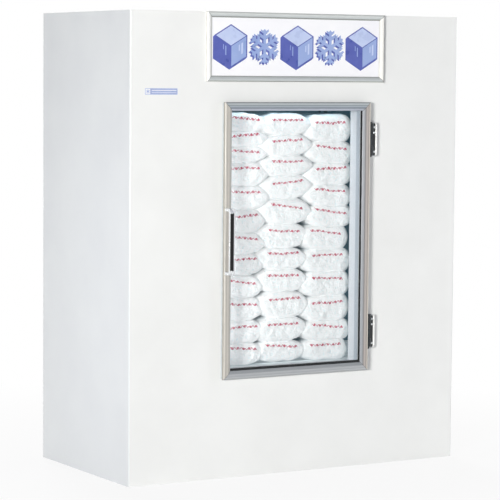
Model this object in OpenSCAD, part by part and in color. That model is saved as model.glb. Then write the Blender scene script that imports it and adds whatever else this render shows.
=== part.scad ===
// Ice merchandiser: an insulated steel cabinet with one glazed door, an evaporator hung
// from its ceiling and a condensing unit under its floor. Millimetres. +Z is up, the door
// faces -Y, and the origin is the middle of the base.

/* [Cabinet] */
// Width of the cabinet
body_w = 1645; // [1600:5:1900]
// Depth of the cabinet without its door
body_d = 833; // [800:1:950]
// Height of the cabinet
body_h = 1981; // [1970:1:2100]
// Thickness of the painted outer sheets
skin_t = 1.2; // [0.8:0.1:2]
// Thickness of the inner liner sheets
liner_t = 1.2; // [0.8:0.1:2]
// Thickness of the base pan
base_t = 2; // [1.5:0.1:3]
// Height of the flange along the back of the base pan
pan_flange = 30; // [20:1:45]
// Thickness of the deck over the machine compartment
deck_t = 1.6; // [1:0.1:3]
// Outer radius of the front sheet's folded corners
corner_r = 6; // [4:0.5:10]
// Depth of the front sheet's returns along the sides
return_d = 24; // [16:1:40]
// Width of the hems folded at the back of the side sheets
hem_w = 18; // [10:1:30]
// Thickness of a side wall with its sheets
side_wall = 72; // [60:1:80]
// Thickness of the front wall with its sheets
front_wall = 72; // [60:1:80]
// Thickness of the back wall with its sheets
back_wall = 72; // [60:1:80]
// Thickness of the ceiling with its sheets
top_wall = 72; // [60:1:80]
// Thickness of the insulated floor with its sheets
floor_wall = 72; // [60:1:80]
// Height of the machine compartment under the deck
compartment_h = 358; // [340:1:365]
// Thickness of the plastic strip that lines the doorway
jamb_t = 2.4; // [1.5:0.1:4]

/* [Door] */
// Middle of the door and the sign, from the middle of the cabinet
front_x = -22; // [-60:1:40]
// Width of the door
door_w = 730; // [700:1:760]
// Height of the door's lower edge above the floor
door_z = 426; // [420:1:432]
// Gap between the door and the sign above it
sign_gap = 87; // [70:1:120]
// Depth of the aluminium frame, front to back
frame_d = 16; // [15:0.5:20]
// Width of the aluminium frame as seen from the front
frame_face = 36; // [34:1:44]
// Depth of the gasket behind the frame
gasket_d = 15.7; // [14:0.1:18]
// Gap between the closed gasket and the cabinet
gasket_gap = 0.3; // [0.2:0.1:0.5]
// Distance from the frame's front to the glass
glass_recess = 10; // [8:0.5:11]
// Thickness of one pane
pane_t = 3; // [2.5:0.1:3.5]
// Depth of the spacer between two panes
spacer_d = 5; // [4:0.5:5.5]
// Height of the lower spacer that shows above the frame
spacer_show = 9; // [0:1:14]
// How far the doorway strip shows inside the frame's edge
jamb_show = 1; // [0:0.5:4]

/* [Handle] */
// Distance from the door's lower edge to the middle of the handle
handle_up = 589; // [480:1:700]
// Overall length of the handle
handle_len = 284; // [220:2:340]
// How far the handle stands off the frame
handle_out = 44; // [38:1:60]
// Width of the handle's section
handle_w = 16; // [14:1:20]
// Depth of the handle's section
handle_t = 14; // [10:1:16]
// Radius of the edges of the handle's section
handle_round = 3; // [2:0.5:5]
// Outer radius of the handle's bends
handle_bend = 22; // [18:1:28]
// Distance from the door's outer edge to the handle
handle_edge = 1.5; // [1.5:0.5:6]
// Width of the dark inlay
inlay_w = 9; // [6:0.5:11]
// Distance from the handle's left side to the inlay
inlay_in = 2; // [1.5:0.5:4]
// Depth of the dark inlay
inlay_t = 1.5; // [1:0.1:2.5]

/* [Hinges] */
// Length of a hinge
hinge_h = 148; // [120:2:170]
// Distance from the door's edge to the hinge axis
hinge_x = 7.5; // [7.5:0.1:9]
// Distance from the cabinet's front to the hinge axis
hinge_y = 24; // [22:0.5:28]
// Radius of a hinge pin
pin_r = 2.5; // [2:0.1:3]
// Radius of a hinge knuckle
knuckle_r = 5; // [4.2:0.1:5]
// Running clearance round a pin or shaft
run_gap = 0.05; // [0.03:0.01:0.1]
// Clearance between things that pass each other
pass_gap = 0.5; // [0.4:0.1:1]
// Distance from the door's lower edge to the middle of the lower hinge
hinge_low = 170; // [120:2:240]
// Distance from the door's upper edge to the middle of the upper hinge
hinge_high = 162; // [120:2:240]
// How far the hinge body stands off the cabinet
hinge_body_d = 21; // [14:1:21]
// Width of the hinge body
hinge_body_w = 25; // [22:1:32]

/* [Sign] */
// Width of the sign with its frame
sign_w = 888; // [700:2:1000]
// Height of the sign with its frame
sign_h = 292; // [240:2:320]
// How far the sign frame stands off the cabinet
sign_d = 16; // [14:1:24]
// Width of the sign frame's bars
sign_bar = 24; // [20:1:34]
// Thickness of the sign panel
sign_panel_t = 3; // [2:0.5:4]

/* [Stock and rack] */
// Height of the floor rack
rack_h = 27; // [20:1:34]
// Width of a rack slat
slat_w = 60; // [40:2:80]
// Width of an ice bag
bag_w = 221; // [200:1:240]
// Length of an ice bag, front to back
bag_len = 440; // [380:5:480]
// Distance from the door's upper edge to the top of the stack
stack_drop = 53; // [45:1:110]
// Middle of the stack, from the middle of the cabinet
stack_x = 6; // [-20:1:30]
// Gap between soft bags
bag_gap = 0.6; // [0.4:0.1:2]

/* [Evaporator] */
// Width of the evaporator's housing
evap_w = 940; // [860:5:1000]
// Depth of the evaporator's housing
evap_d = 330; // [300:5:360]
// Height of the evaporator's housing
evap_h = 176; // [172:1:220]
// Gap between the evaporator and the back liner
evap_back = 50; // [40:1:70]
// Radius of the evaporator's fans
evap_fan_r = 68; // [60:1:70]
// Width of an evaporator fan's blade
evap_chord = 42; // [36:1:44]
// Distance between the evaporator's fans
evap_fan_pitch = 480; // [400:5:520]
// Spacing of the evaporator's fins
evap_pitch = 12; // [10:1:16]
// Depth of the drip pan
pan_h = 22; // [16:1:30]
// Radius of an evaporator motor
evap_motor_r = 30; // [26:1:34]
// Length of an evaporator motor
evap_motor_len = 48; // [40:1:60]
// Distance of an evaporator motor behind the fan panel
evap_motor_in = 24; // [20:1:28]
// Distance of a fan guard in front of the fan panel
guard_out = 14; // [12:1:24]

/* [Light] */
// Length of the light fitting
light_len = 600; // [400:10:640]
// Height of the light fitting
light_h = 34; // [28:1:46]
// Depth of the light fitting at its ends
light_d = 40; // [36:1:60]
// Depth of the light fitting between its ends
light_base = 14; // [8:1:16]
// Distance from the door's upper edge up to the light fitting
light_up = 18; // [10:1:24]
// Radius of the light tube
light_r = 8; // [6:0.5:9]

/* [Condensing unit] */
// Width of the condenser's fin block
cond_w = 320; // [280:5:340]
// Height of the condenser's fin block
cond_h = 250; // [244:1:270]
// Depth of the condenser's fin block
cond_d = 56; // [44:2:64]
// Middle of the condenser, from the middle of the cabinet
cond_x = -230; // [-260:5:-220]
// Radius of the condenser's fan
cond_fan_r = 105; // [90:1:108]
// Width of a condenser fan's blade
cond_chord = 62; // [50:1:64]
// Spacing of the condenser's fins
cond_pitch = 8; // [7:1:12]
// Radius of the condenser's motor
cond_motor_r = 38; // [34:1:44]
// Length of the condenser's motor
cond_motor_len = 70; // [66:1:80]
// Distance of the condenser's motor in front of its shroud
cond_motor_out = 26; // [24:1:32]
// Width of the condenser motor's bracket
cond_bracket_w = 60; // [40:2:70]
// Radius of the compressor's shell
comp_r = 78; // [70:1:84]
// Height of the compressor's shell
comp_h = 190; // [170:1:210]
// Height of the rubber feet under the compressor
foot_h = 16; // [12:1:20]
// Radius of the suction tube
suction_r = 8; // [6:0.5:9]
// Radius of the liquid tube
liquid_r = 5; // [3.5:0.5:6]
// Radius of the drain tube
drain_r = 11; // [8:0.5:13]
// How far the drain tube drops below the drip pan before it turns
drain_drop = 50; // [44:1:60]
// Clearance of a tube in a hole of the floor
tube_gap = 0.3; // [0.2:0.1:0.6]
// Width of the condensate tray
tray_w = 220; // [180:5:260]
// Depth of the condensate tray, front to back
tray_d = 200; // [160:5:220]
// Height of the condensate tray
tray_h = 45; // [30:1:60]

/* [Rear grille and controls] */
// Width of the rear grille's opening
grille_w = 640; // [560:5:680]
// Height of the rear grille's opening
grille_h = 270; // [240:1:280]
// Number of louvres in one column
louvres = 9; // [6:1:11]
// Width of the control box
box_w = 140; // [130:1:160]
// Height of the control box
box_h = 150; // [140:1:160]
// Depth of the control box
box_d = 80; // [60:1:100]
// How far the control box lies behind the back sheet
box_recess = 26; // [22:1:32]
// Radius of the thermostat knob
knob_r = 17; // [14:0.5:20]

/* [Hidden] */
$fn = 64;

left_x = -body_w / 2;
right_x = body_w / 2;
front_y = -body_d / 2;
back_y = body_d / 2;
in_left = left_x + side_wall;
in_right = right_x - side_wall;
in_front = front_y + front_wall;
in_back = back_y - back_wall;
ceiling_z = body_h - top_wall;
deck_z = compartment_h + deck_t;
floor_z = compartment_h + floor_wall;
panel_top = body_h - skin_t;

// The door, its glass and the doorway behind it
door_back = front_y - gasket_gap;
frame_back = door_back - gasket_d;
frame_front = frame_back - frame_d;
door_left = front_x - door_w / 2;
door_right = front_x + door_w / 2;
door_top = body_h - sign_h - sign_gap;
door_h = door_top - door_z;
handle_z = door_z + handle_up;
stack_top = door_top - stack_drop;
sight_w = door_w - 2 * frame_face;
sight_h = door_h - 2 * frame_face;
way_w = sight_w - 2 * jamb_show;
way_h = sight_h - 2 * jamb_show;
way_z = door_z + frame_face + jamb_show;
glass_edge = frame_face - 6;
glass_gap = 0.3;
pack_d = 3 * pane_t + 2 * spacer_d;
glass_front = frame_front + glass_recess;
axis_x = door_right + hinge_x;
axis_y = front_y - hinge_y;
hinge_zs = [door_z + hinge_low, door_top - hinge_high];
knuckle_share = hinge_h / 3;

// The evaporator
evap_back_y = in_back - evap_back;
evap_front_y = evap_back_y - evap_d;
evap_z = ceiling_z - evap_h;
evap_fan_z = evap_z + evap_h / 2 + 2;
evap_fan_xs = [-evap_fan_pitch / 2, evap_fan_pitch / 2];
sheet_t = 1.2;
coil_end = evap_w / 2 - 40;
coil_lift = 14;
stub_x = evap_w / 2 + 35;
suction_end = [stub_x, evap_back_y - 95, evap_z + 115];
liquid_end = [stub_x, evap_back_y - 75, evap_z + 60];

// The condensing unit
comp_x = 120;
comp_y = 100;
comp_z = base_t + foot_h;
cond_back_y = back_y - skin_t - 18;
cond_front_y = cond_back_y - cond_d;
cond_z = base_t + 28;
cond_mid = cond_z + cond_h / 2;
shroud_d = 36;
cond_stub_x = cond_x + cond_w / 2 + 30;
discharge_r = liquid_r + 0.5;
fan_shaft_r = 4;
pipe_y = in_back - 20;
suction_x = in_right - 150;
liquid_x = suction_x - 32;
drain_x = in_left + 150;
drain_out_x = -evap_w / 2 + 60;
drain_out_y = evap_back_y - 90;
bend_r = 20;

// The opening for the grille and the one for the controls
grille_x = -110;
grille_z = 66;
box_x = 370;
box_back = back_y - box_recess;
box_top = compartment_h;

// ---- Plain helpers ----

// A block between two opposite corners
module slab(low, high) {
    translate(low) cube(high - low);
}

// A rectangular frame lying round a window, thick along Y
module ring(x, y, z, w, d, h, border) {
    translate([x - w / 2, y, z])
        difference() {
            cube([w, d, h]);
            translate([border, -1, border]) cube([w - 2 * border, d + 2, h - 2 * border]);
        }
}

// A cylinder along Y that starts at a point
module rod_y(at, r, len) {
    translate(at) rotate([-90, 0, 0]) cylinder(h = len, r = r);
}

// A round bar between two points
module rod(from, to, r) {
    v = to - from;
    len = norm(v);
    translate(from)
        rotate([0, acos(v.z / len), atan2(v.y, v.x)])
            cylinder(h = len, r = r);
}

// Unit direction from one point to the next
function way(a, b) = (b - a) / norm(b - a);

// A quarter bend that turns from one square direction into another at a corner
module elbow(corner, d_in, d_out, bend, r) {
    n = cross(d_in, d_out);
    c = corner - bend * d_in + bend * d_out;
    multmatrix([
        [-d_out.x, d_in.x, n.x, c.x],
        [-d_out.y, d_in.y, n.y, c.y],
        [-d_out.z, d_in.z, n.z, c.z],
        [0, 0, 0, 1]
    ])
        rotate_extrude(angle = 90) translate([bend, 0]) circle(r);
}

// A tube with square turns through a list of points
module tube(points, r, bend) {
    last = len(points) - 1;
    for (i = [0 : last - 1]) {
        d = way(points[i], points[i + 1]);
        rod(points[i] + (i == 0 ? 0 : bend) * d,
            points[i + 1] - (i == last - 1 ? 0 : bend) * d, r);
    }
    for (i = [1 : last - 1])
        elbow(points[i], way(points[i - 1], points[i]), way(points[i], points[i + 1]), bend, r);
}

// ---- Cabinet shell ----

// The cabinet's outline seen from above, drawn in all round, with its front corners rounded
module plan(inset) {
    r = corner_r - inset;
    w = body_w - 2 * inset;
    d = body_d - 2 * inset;
    translate([left_x + inset, front_y + inset]) {
        translate([0, r]) square([w, d - r]);
        translate([r, 0]) square([w - 2 * r, d]);
        for (x = [r, w - r]) translate([x, r]) circle(r);
    }
}

module base_pan() {
    color("silver") {
        linear_extrude(height = base_t) plan(skin_t);
        slab([in_left, back_y - skin_t - base_t, 0], [in_right, back_y - skin_t, base_t + pan_flange]);
    }
}

// The left side sheet's folded hem, behind the back sheet's edge
module side_hem() {
    slab([left_x, back_y - 2 * skin_t, base_t], [left_x + hem_w, back_y - skin_t, panel_top]);
}

module side_sheet() {
    slab([left_x, front_y + return_d, 0], [left_x + skin_t, back_y - skin_t, panel_top]);
    side_hem();
}

module left_side_panel() {
    color("gainsboro") side_sheet();
}

module right_side_panel() {
    color("gainsboro") mirror([1, 0, 0]) side_sheet();
}

// The block that the doorway and its strip take out of the front wall
module doorway_cut(extra = 0) {
    w = way_w + 2 * jamb_t + 2 * extra;
    translate([front_x - w / 2, front_y - 5, way_z - jamb_t - extra])
        cube([w, front_wall + 10, way_h + 2 * jamb_t + 2 * extra]);
}

module front_panel() {
    color("white")
        difference() {
            linear_extrude(height = panel_top)
                difference() {
                    plan(0);
                    plan(skin_t);
                    translate([left_x - 1, front_y + return_d]) square([body_w + 2, body_d]);
                }
            doorway_cut();
        }
}

module back_panel() {
    color("gainsboro")
        difference() {
            slab([left_x, back_y - skin_t, 0], [right_x, back_y, panel_top]);
            translate([grille_x - grille_w / 2, back_y - 5, grille_z]) cube([grille_w, 10, grille_h]);
            translate([box_x - box_w / 2 + 6, back_y - 5, box_top - box_h + 6])
                cube([box_w - 12, 10, box_h - 18]);
        }
}

module top_panel() {
    color("white") translate([0, 0, panel_top]) linear_extrude(height = skin_t) plan(0);
}

module side_foam() {
    difference() {
        translate([0, 0, base_t])
            linear_extrude(height = panel_top - base_t)
                intersection() {
                    plan(skin_t);
                    translate([left_x, front_y]) square([side_wall - liner_t, body_d]);
                }
        side_hem();
    }
}

module left_insulation() {
    color("khaki") side_foam();
}

module right_insulation() {
    color("khaki") mirror([1, 0, 0]) side_foam();
}

module front_insulation() {
    color("khaki")
        difference() {
            slab([in_left - liner_t, front_y + skin_t, base_t],
                 [in_right + liner_t, in_front - liner_t, panel_top]);
            doorway_cut();
        }
}

module back_insulation() {
    color("khaki")
        slab([in_left - liner_t, in_back + liner_t, deck_z],
             [in_right + liner_t, back_y - skin_t, panel_top]);
}

module ceiling_insulation() {
    color("khaki")
        slab([in_left - liner_t, in_front - liner_t, ceiling_z + liner_t],
             [in_right + liner_t, in_back + liner_t, panel_top]);
}

// The holes for the two refrigerant tubes and the drain, down through the floor
module floor_holes() {
    for (p = [[suction_x, suction_r], [liquid_x, liquid_r], [drain_x, drain_r]])
        translate([p[0], pipe_y, compartment_h - 5])
            cylinder(h = floor_wall + 10, r = p[1] + tube_gap);
}

module floor_insulation() {
    color("khaki")
        difference() {
            slab([in_left, in_front, deck_z], [in_right, in_back, floor_z - liner_t]);
            floor_holes();
        }
}

module side_lining() {
    slab([in_left - liner_t, in_front, base_t], [in_left, in_back, ceiling_z]);
}

module side_liners() {
    color("whitesmoke") {
        side_lining();
        mirror([1, 0, 0]) side_lining();
    }
}

module front_liner() {
    color("whitesmoke")
        difference() {
            slab([in_left - liner_t, in_front - liner_t, base_t],
                 [in_right + liner_t, in_front, ceiling_z]);
            doorway_cut();
        }
}

module back_liner() {
    color("whitesmoke")
        slab([in_left - liner_t, in_back, deck_z], [in_right + liner_t, in_back + liner_t, ceiling_z]);
}

module ceiling_liner() {
    color("whitesmoke")
        slab([in_left - liner_t, in_front - liner_t, ceiling_z],
             [in_right + liner_t, in_back + liner_t, ceiling_z + liner_t]);
}

module floor_liner() {
    color("whitesmoke")
        difference() {
            slab([in_left, in_front, floor_z - liner_t], [in_right, in_back, floor_z]);
            floor_holes();
        }
}

module deck_plate() {
    color("silver")
        difference() {
            union() {
                slab([in_left, in_front, compartment_h], [in_right, in_back, deck_z]);
                slab([in_left - liner_t, in_back, compartment_h],
                     [in_right + liner_t, back_y - skin_t, deck_z]);
            }
            floor_holes();
        }
}

module door_jamb() {
    color("aliceblue")
        ring(front_x, front_y, way_z - jamb_t, way_w + 2 * jamb_t, front_wall,
             way_h + 2 * jamb_t, jamb_t);
}

// ---- Mitred bars ----

// Keeps the part of a rail between two mitres. The outline is seen from the front, with the
// bar's outer edge on the line z = 0 and its window side up.
module mitred(len, width) {
    intersection() {
        rotate([90, 0, 90]) linear_extrude(height = len) children();
        translate([0, front_y + 50, 0])
            rotate([90, 0, 0])
                linear_extrude(height = 200)
                    polygon([[0, 0], [len, 0], [len - width, width], [width, width]]);
    }
}

// Places a bar on each pair of opposite sides of a w by h frame, seen from the front
module lower_bar(x, z) {
    translate([x, 0, z]) children();
}

module upper_bar(x, z, h) {
    translate([x, 0, z + h]) mirror([0, 0, 1]) children();
}

module left_bar(x, z, h) {
    translate([x, 0, z + h]) rotate([0, 90, 0]) children();
}

module right_bar(x, z, w) {
    translate([x + w, 0, z]) rotate([0, -90, 0]) children();
}

// ---- Sign over the door ----

sign_x = front_x - sign_w / 2;
sign_z = body_h - sign_h;
sign_front = front_y - sign_d;
sign_stop = 9.5;

// Section of a sign bar: rounded crest, long bevel down to the panel. First value along Y,
// second value in from the outer edge.
module sign_section() {
    translate([sign_front, 0])
        polygon([
            [sign_d, 0], [3, 0], [1, 2], [0, 6], [1.5, 12], [8, sign_bar],
            [sign_stop, sign_bar], [sign_stop, sign_bar - 8], [sign_d, sign_bar - 8]
        ]);
}

module sign_rails() {
    color("lightgray") {
        lower_bar(sign_x, sign_z) mitred(sign_w, sign_bar) sign_section();
        upper_bar(sign_x, sign_z, sign_h) mitred(sign_w, sign_bar) sign_section();
    }
}

module sign_stiles() {
    color("whitesmoke") {
        left_bar(sign_x, sign_z, sign_h) mitred(sign_h, sign_bar) sign_section();
        right_bar(sign_x, sign_z, sign_w) mitred(sign_h, sign_bar) sign_section();
    }
}

module sign_panel() {
    edge = sign_bar - 8 + glass_gap;
    color("ghostwhite")
        slab([sign_x + edge, sign_front + sign_stop, sign_z + edge],
             [sign_x + sign_w - edge, sign_front + sign_stop + sign_panel_t, sign_z + sign_h - edge]);
}

// ---- Door ----

// Section of the door frame's bar: outer lip with a groove, a flat, a step and the bevel
// down to the glass, with a closed chamber behind. Values as in the sign bar's section.
module frame_section() {
    f = frame_face;
    e = glass_edge;
    translate([frame_front, 0])
        difference() {
            polygon([
                [frame_d, 0], [1.5, 0], [0, 1.5], [0, 4], [1, 4.6], [1, 6], [0, 6.6],
                [0, f - 14], [1.5, f - 13], [1.5, f - 10], [3, f - 9], [8, f - 1], [9, f],
                [glass_recess, f], [glass_recess, e], [frame_d, e]
            ]);
            polygon([[3.5, 2.5], [3.5, e - 10], [5, e - 3], [frame_d - 2.5, e - 3], [frame_d - 2.5, 2.5]]);
        }
}

module door_top_rail() {
    color("darkgray") upper_bar(door_left, door_z, door_h) mitred(door_w, frame_face) frame_section();
}

module door_bottom_rail() {
    color("darkgray") lower_bar(door_left, door_z) mitred(door_w, frame_face) frame_section();
}

module door_latch_stile() {
    color("silver") left_bar(door_left, door_z, door_h) mitred(door_h, frame_face) frame_section();
}

module door_hinge_stile() {
    color("silver") right_bar(door_left, door_z, door_w) mitred(door_h, frame_face) frame_section();
}

module pane(y) {
    edge = glass_edge + glass_gap;
    slab([door_left + edge, y, door_z + edge], [door_right - edge, y + pane_t, door_top - edge]);
}

module glass_panes() {
    color("lightcyan", 0.4)
        for (i = [0 : 2]) pane(glass_front + i * (pane_t + spacer_d));
}

module glass_spacers() {
    edge = glass_edge + glass_gap;
    color("black")
        for (i = [0, 1])
            difference() {
                translate([door_left + edge, glass_front + pane_t + i * (pane_t + spacer_d), door_z + edge])
                    cube([door_w - 2 * edge, spacer_d, door_h - 2 * edge]);
                translate([door_left + frame_face, frame_front, door_z + frame_face + spacer_show])
                    cube([sight_w, frame_d + gasket_d, sight_h - spacer_show]);
            }
}

bead_edge = glass_edge - 3;
bead_front = glass_front + pack_d;

// The strip that holds the glass from behind: a leg to the frame and a lip over the last pane
module glazing_bead() {
    w = door_w - 2 * bead_edge;
    h = door_h - 2 * bead_edge;
    lip_back = door_back - 0.2;
    color("white") {
        ring(front_x, frame_back, door_z + bead_edge, w, lip_back - frame_back, h, 2.7);
        ring(front_x, bead_front, door_z + bead_edge, w, lip_back - bead_front, h,
             frame_face - bead_edge);
    }
}

module door_gasket() {
    edge = 3;
    color("lightgray")
        ring(front_x, frame_back, door_z + edge, door_w - 2 * edge, gasket_d, door_h - 2 * edge,
             bead_edge - edge - 0.3);
}

// The pull's section, rounded at its corners and centred on its own middle
module handle_section() {
    r = handle_round;
    square([handle_w, handle_t - 2 * r], center = true);
    square([handle_w - 2 * r, handle_t], center = true);
    for (x = [-1, 1], y = [-1, 1])
        translate([x * (handle_w / 2 - r), y * (handle_t / 2 - r)]) circle(r);
}

inlay_len = handle_len - 2 * handle_bend;
handle_left = door_left + handle_edge;
handle_low = handle_z - handle_len / 2;

module inlay_block() {
    slab([handle_left + inlay_in, frame_front - handle_out, handle_z - inlay_len / 2],
         [handle_left + inlay_in + inlay_w, frame_front - handle_out + inlay_t,
          handle_z + inlay_len / 2]);
}

// The pull: a grip, a bend at each end and two legs that stand on the frame
module door_handle() {
    bend = handle_bend - handle_t / 2;
    grip = handle_len - 2 * handle_bend;
    leg = handle_out - handle_bend;
    color("gainsboro")
        difference() {
            translate([handle_left + handle_w / 2, frame_front, handle_z]) {
                translate([0, -handle_out + handle_t / 2, -grip / 2])
                    linear_extrude(height = grip) handle_section();
                for (s = [-1, 1])
                    mirror([0, 0, s < 0 ? 1 : 0])
                        translate([0, -leg, grip / 2]) {
                            rotate([0, -90, 0])
                                rotate([0, 0, -90])
                                    rotate_extrude(angle = 90)
                                        translate([bend, 0]) rotate([0, 0, 90]) handle_section();
                            translate([0, leg, bend])
                                rotate([90, 0, 0]) linear_extrude(height = leg) handle_section();
                        }
            }
            inlay_block();
        }
}

module handle_inlay() {
    color("black") inlay_block();
}

// ---- Hinges ----

// Puts a piece at the middle of each hinge, on its axis
module at_hinges() {
    for (z = hinge_zs) translate([axis_x, axis_y, z]) children();
}

// A flat shape with half-round ends, thick along Y, its width from x0 to x1
module oblong(x0, x1, h, y0, y1) {
    r = (x1 - x0) / 2;
    translate([x0 + r, y1, 0])
        rotate([90, 0, 0])
            linear_extrude(height = y1 - y0) {
                square([2 * r, h - 2 * r], center = true);
                for (s = [-1, 1]) translate([0, s * (h / 2 - r)]) circle(r);
            }
}

leaf_in = hinge_x - 2;
body_in = knuckle_r + 4;

module cabinet_hinges() {
    top = hinge_y - hinge_body_d;
    color("silver")
        at_hinges()
            difference() {
                union() {
                    oblong(body_in, body_in + hinge_body_w, hinge_h, top, hinge_y);
                    for (s = [-1, 1])
                        translate([0, 0, s * knuckle_share - knuckle_share / 2 - (s < 0 ? 0 : -0.2)])
                            union() {
                                cylinder(h = knuckle_share - 0.2, r = knuckle_r);
                                translate([0, 0, 7])
                                    cube([body_in + 4, knuckle_r + 6, knuckle_share - 14]);
                            }
                }
                oblong(body_in + 2.5, body_in + hinge_body_w - 2.5, hinge_h - 5, top - 1, top + 4);
                translate([0, 0, -hinge_h]) cylinder(h = 2 * hinge_h, r = pin_r + run_gap / 2);
            }
}

module hinge_pins() {
    color("silver")
        at_hinges() {
            translate([0, 0, -hinge_h / 2 - 3]) cylinder(h = hinge_h + 6, r = pin_r);
            for (s = [-1, 1])
                translate([0, 0, s * (hinge_h / 2 + 1.5) - 1.5]) cylinder(h = 3, r = pin_r + 1.5);
        }
}

module door_hinges() {
    mid = knuckle_share - 2 * 0.2;
    color("silver")
        at_hinges()
            difference() {
                union() {
                    translate([-hinge_x, -7, -hinge_h / 2]) cube([hinge_x - leaf_in, 14, hinge_h]);
                    translate([0, 0, -mid / 2]) cylinder(h = mid, r = knuckle_r);
                    translate([-hinge_x + 1, -knuckle_r, -mid / 2])
                        cube([hinge_x - 1, knuckle_r, mid]);
                }
                translate([0, 0, -hinge_h]) cylinder(h = 2 * hinge_h, r = pin_r + run_gap);
            }
}

// ---- Rack and stock ----

rack_top = floor_z + rack_h;

module floor_rack() {
    slat_t = rack_h - 12;
    span = in_right - in_left - 20;
    depth = in_back - in_front - 60;
    slats = floor((depth + 30) / (slat_w + 30));
    step = (depth - slat_w) / (slats - 1);
    color("white") {
        for (i = [0 : slats - 1])
            translate([in_left + 10, in_front + 10 + i * step, rack_top - slat_t])
                cube([span, slat_w, slat_t]);
        for (i = [0 : 4])
            translate([in_left + 10 + i * (span - 40) / 4, in_front + 10, floor_z])
                cube([40, depth, 12 + 1]);
    }
}

// A filled bag's section: a lens, flattened where its neighbours press on it
module bag_section(h) {
    full = h * 1.3;
    r = (bag_w * bag_w + full * full) / (4 * full);
    intersection() {
        translate([0, full / 2 - r]) circle(r);
        translate([0, r - full / 2]) circle(r);
        square([bag_w, h], center = true);
    }
}

bag_rows = [12, 11, 11];

module ice_bags() {
    color("aliceblue")
        for (c = [0 : 2], i = [0 : bag_rows[c] - 1]) {
            pitch = (stack_top - rack_top) / bag_rows[c];
            translate([stack_x + (c - 1) * (bag_w + bag_gap), in_front + 18 + bag_len,
                       rack_top + (i + 0.5) * pitch])
                rotate([90, 0, 0])
                    linear_extrude(height = bag_len) bag_section(pitch - bag_gap);
        }
}

// ---- Finned coils ----

// A fin block: fins across its length on one plate, as one comb-shaped extrusion. It runs
// along X, centred on x = 0, with its depth along Y and its height along Z.
module fin_block(len, depth, h, pitch, fin) {
    fins = floor((len - fin) / pitch);
    web = 4;
    x0 = -(fins * pitch) / 2 + (pitch - fin) / 2;
    upper = [for (i = [0 : fins - 1])
        each [[x0 + i * pitch, web / 2], [x0 + i * pitch, h / 2],
              [x0 + i * pitch + fin, h / 2], [x0 + i * pitch + fin, web / 2]]];
    lower = [for (i = [fins - 1 : -1 : 0])
        each [[x0 + i * pitch + fin, -web / 2], [x0 + i * pitch + fin, -h / 2],
              [x0 + i * pitch, -h / 2], [x0 + i * pitch, -web / 2]]];
    translate([0, depth, 0])
        rotate([90, 0, 0])
            linear_extrude(height = depth)
                polygon(concat([[-len / 2, web / 2]], upper, [[len / 2, web / 2], [len / 2, -web / 2]],
                               lower, [[-len / 2, -web / 2]]));
}

// Return bends on one end of a coil, stacked in pairs of tubes
module return_bends(x, side, depth, h, r) {
    rows = floor(h / 50);
    cols = max(1, floor(depth / 50));
    step = h / rows;
    for (i = [0 : rows - 1], j = [0 : cols - 1])
        translate([x, (j + 0.5) * depth / cols, -h / 2 + (i + 0.5) * step])
            rotate([0, side > 0 ? 0 : 180, 0])
                rotate([90, 0, 0])
                    rotate([0, 0, -90])
                        rotate_extrude(angle = 180) translate([step / 4, 0]) circle(r);
}

module evaporator_coil() {
    h = evap_h - 30;
    depth = 140;
    color("lightsteelblue")
        translate([0, evap_back_y - depth - 12, evap_z + coil_lift + h / 2]) {
            fin_block(2 * coil_end, depth, h, evap_pitch, 1);
            for (s = [-1, 1]) {
                translate([s * (coil_end - 1) - 1, 0, -h / 2])
                    cube([2, depth, evap_h - sheet_t - coil_lift]);
                return_bends(s * coil_end, s, depth, h - 20, 5);
            }
        }
    color("peru")
        for (p = [[suction_end, suction_r], [liquid_end, liquid_r]])
            rod([coil_end - 1, p[0].y, p[0].z], p[0], p[1]);
}

// ---- Evaporator ----

module at_evap_fans(list) {
    for (x = list) translate([x, evap_front_y, evap_fan_z]) rotate([90, 0, 0]) children();
}

module evaporator_housing() {
    hole_r = evap_fan_r + 4;
    color("gainsboro")
        difference() {
            slab([-evap_w / 2, evap_front_y, evap_z], [evap_w / 2, evap_back_y, ceiling_z]);
            slab([-evap_w / 2 + sheet_t, evap_front_y + sheet_t, evap_z - 1],
                 [evap_w / 2 - sheet_t, evap_back_y + 1, ceiling_z - sheet_t]);
            at_evap_fans(evap_fan_xs) translate([0, 0, -10]) cylinder(h = 20, r = hole_r);
            for (p = [[suction_end, suction_r], [liquid_end, liquid_r]])
                rod([evap_w / 2 - 10, p[0].y, p[0].z], p[0], p[1] + tube_gap);
        }
}

// A wire guard: three rings on four thinner spokes, held off the fan panel by four posts
module guard(r) {
    for (i = [1 : 3])
        translate([0, 0, guard_out]) rotate_extrude($fn = 56) translate([i * r / 3, 0]) circle(1.5, $fn = 12);
    for (a = [0 : 90 : 270])
        rotate([0, 0, a])
            translate([r / 3, 0, guard_out])
                rotate([0, 90, 0]) rotate([0, 0, 15]) cylinder(h = 2 * r / 3, r = 1.2, $fn = 12);
    for (a = [45 : 90 : 315])
        rotate([0, 0, a]) translate([r, 0, 0]) cylinder(h = guard_out + 0.4, r = 2, $fn = 12);
}

module fan_guards() {
    color("silver") at_evap_fans(evap_fan_xs) guard(evap_fan_r + 8);
}

// A shaded-pole motor: round body, bearing boss with its bore, and arms to the fan panel
module fan_motor(r, len, stand, reach) {
    arm = 8;
    difference() {
        union() {
            translate([0, 0, -stand - len]) cylinder(h = len, r = r);
            translate([0, 0, -stand]) cylinder(h = 4, r = r / 2.5);
            for (a = [45 : 90 : 315])
                rotate([0, 0, a]) {
                    translate([r - 3, -arm / 2, -stand - 5]) cube([reach - r + 3, arm, 3]);
                    translate([reach - 3, -arm / 2, -stand - 5]) cube([3, arm, stand + 5 - sheet_t]);
                }
        }
        translate([0, 0, -stand - 20]) cylinder(h = 30, r = fan_shaft_r + run_gap);
    }
}

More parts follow.
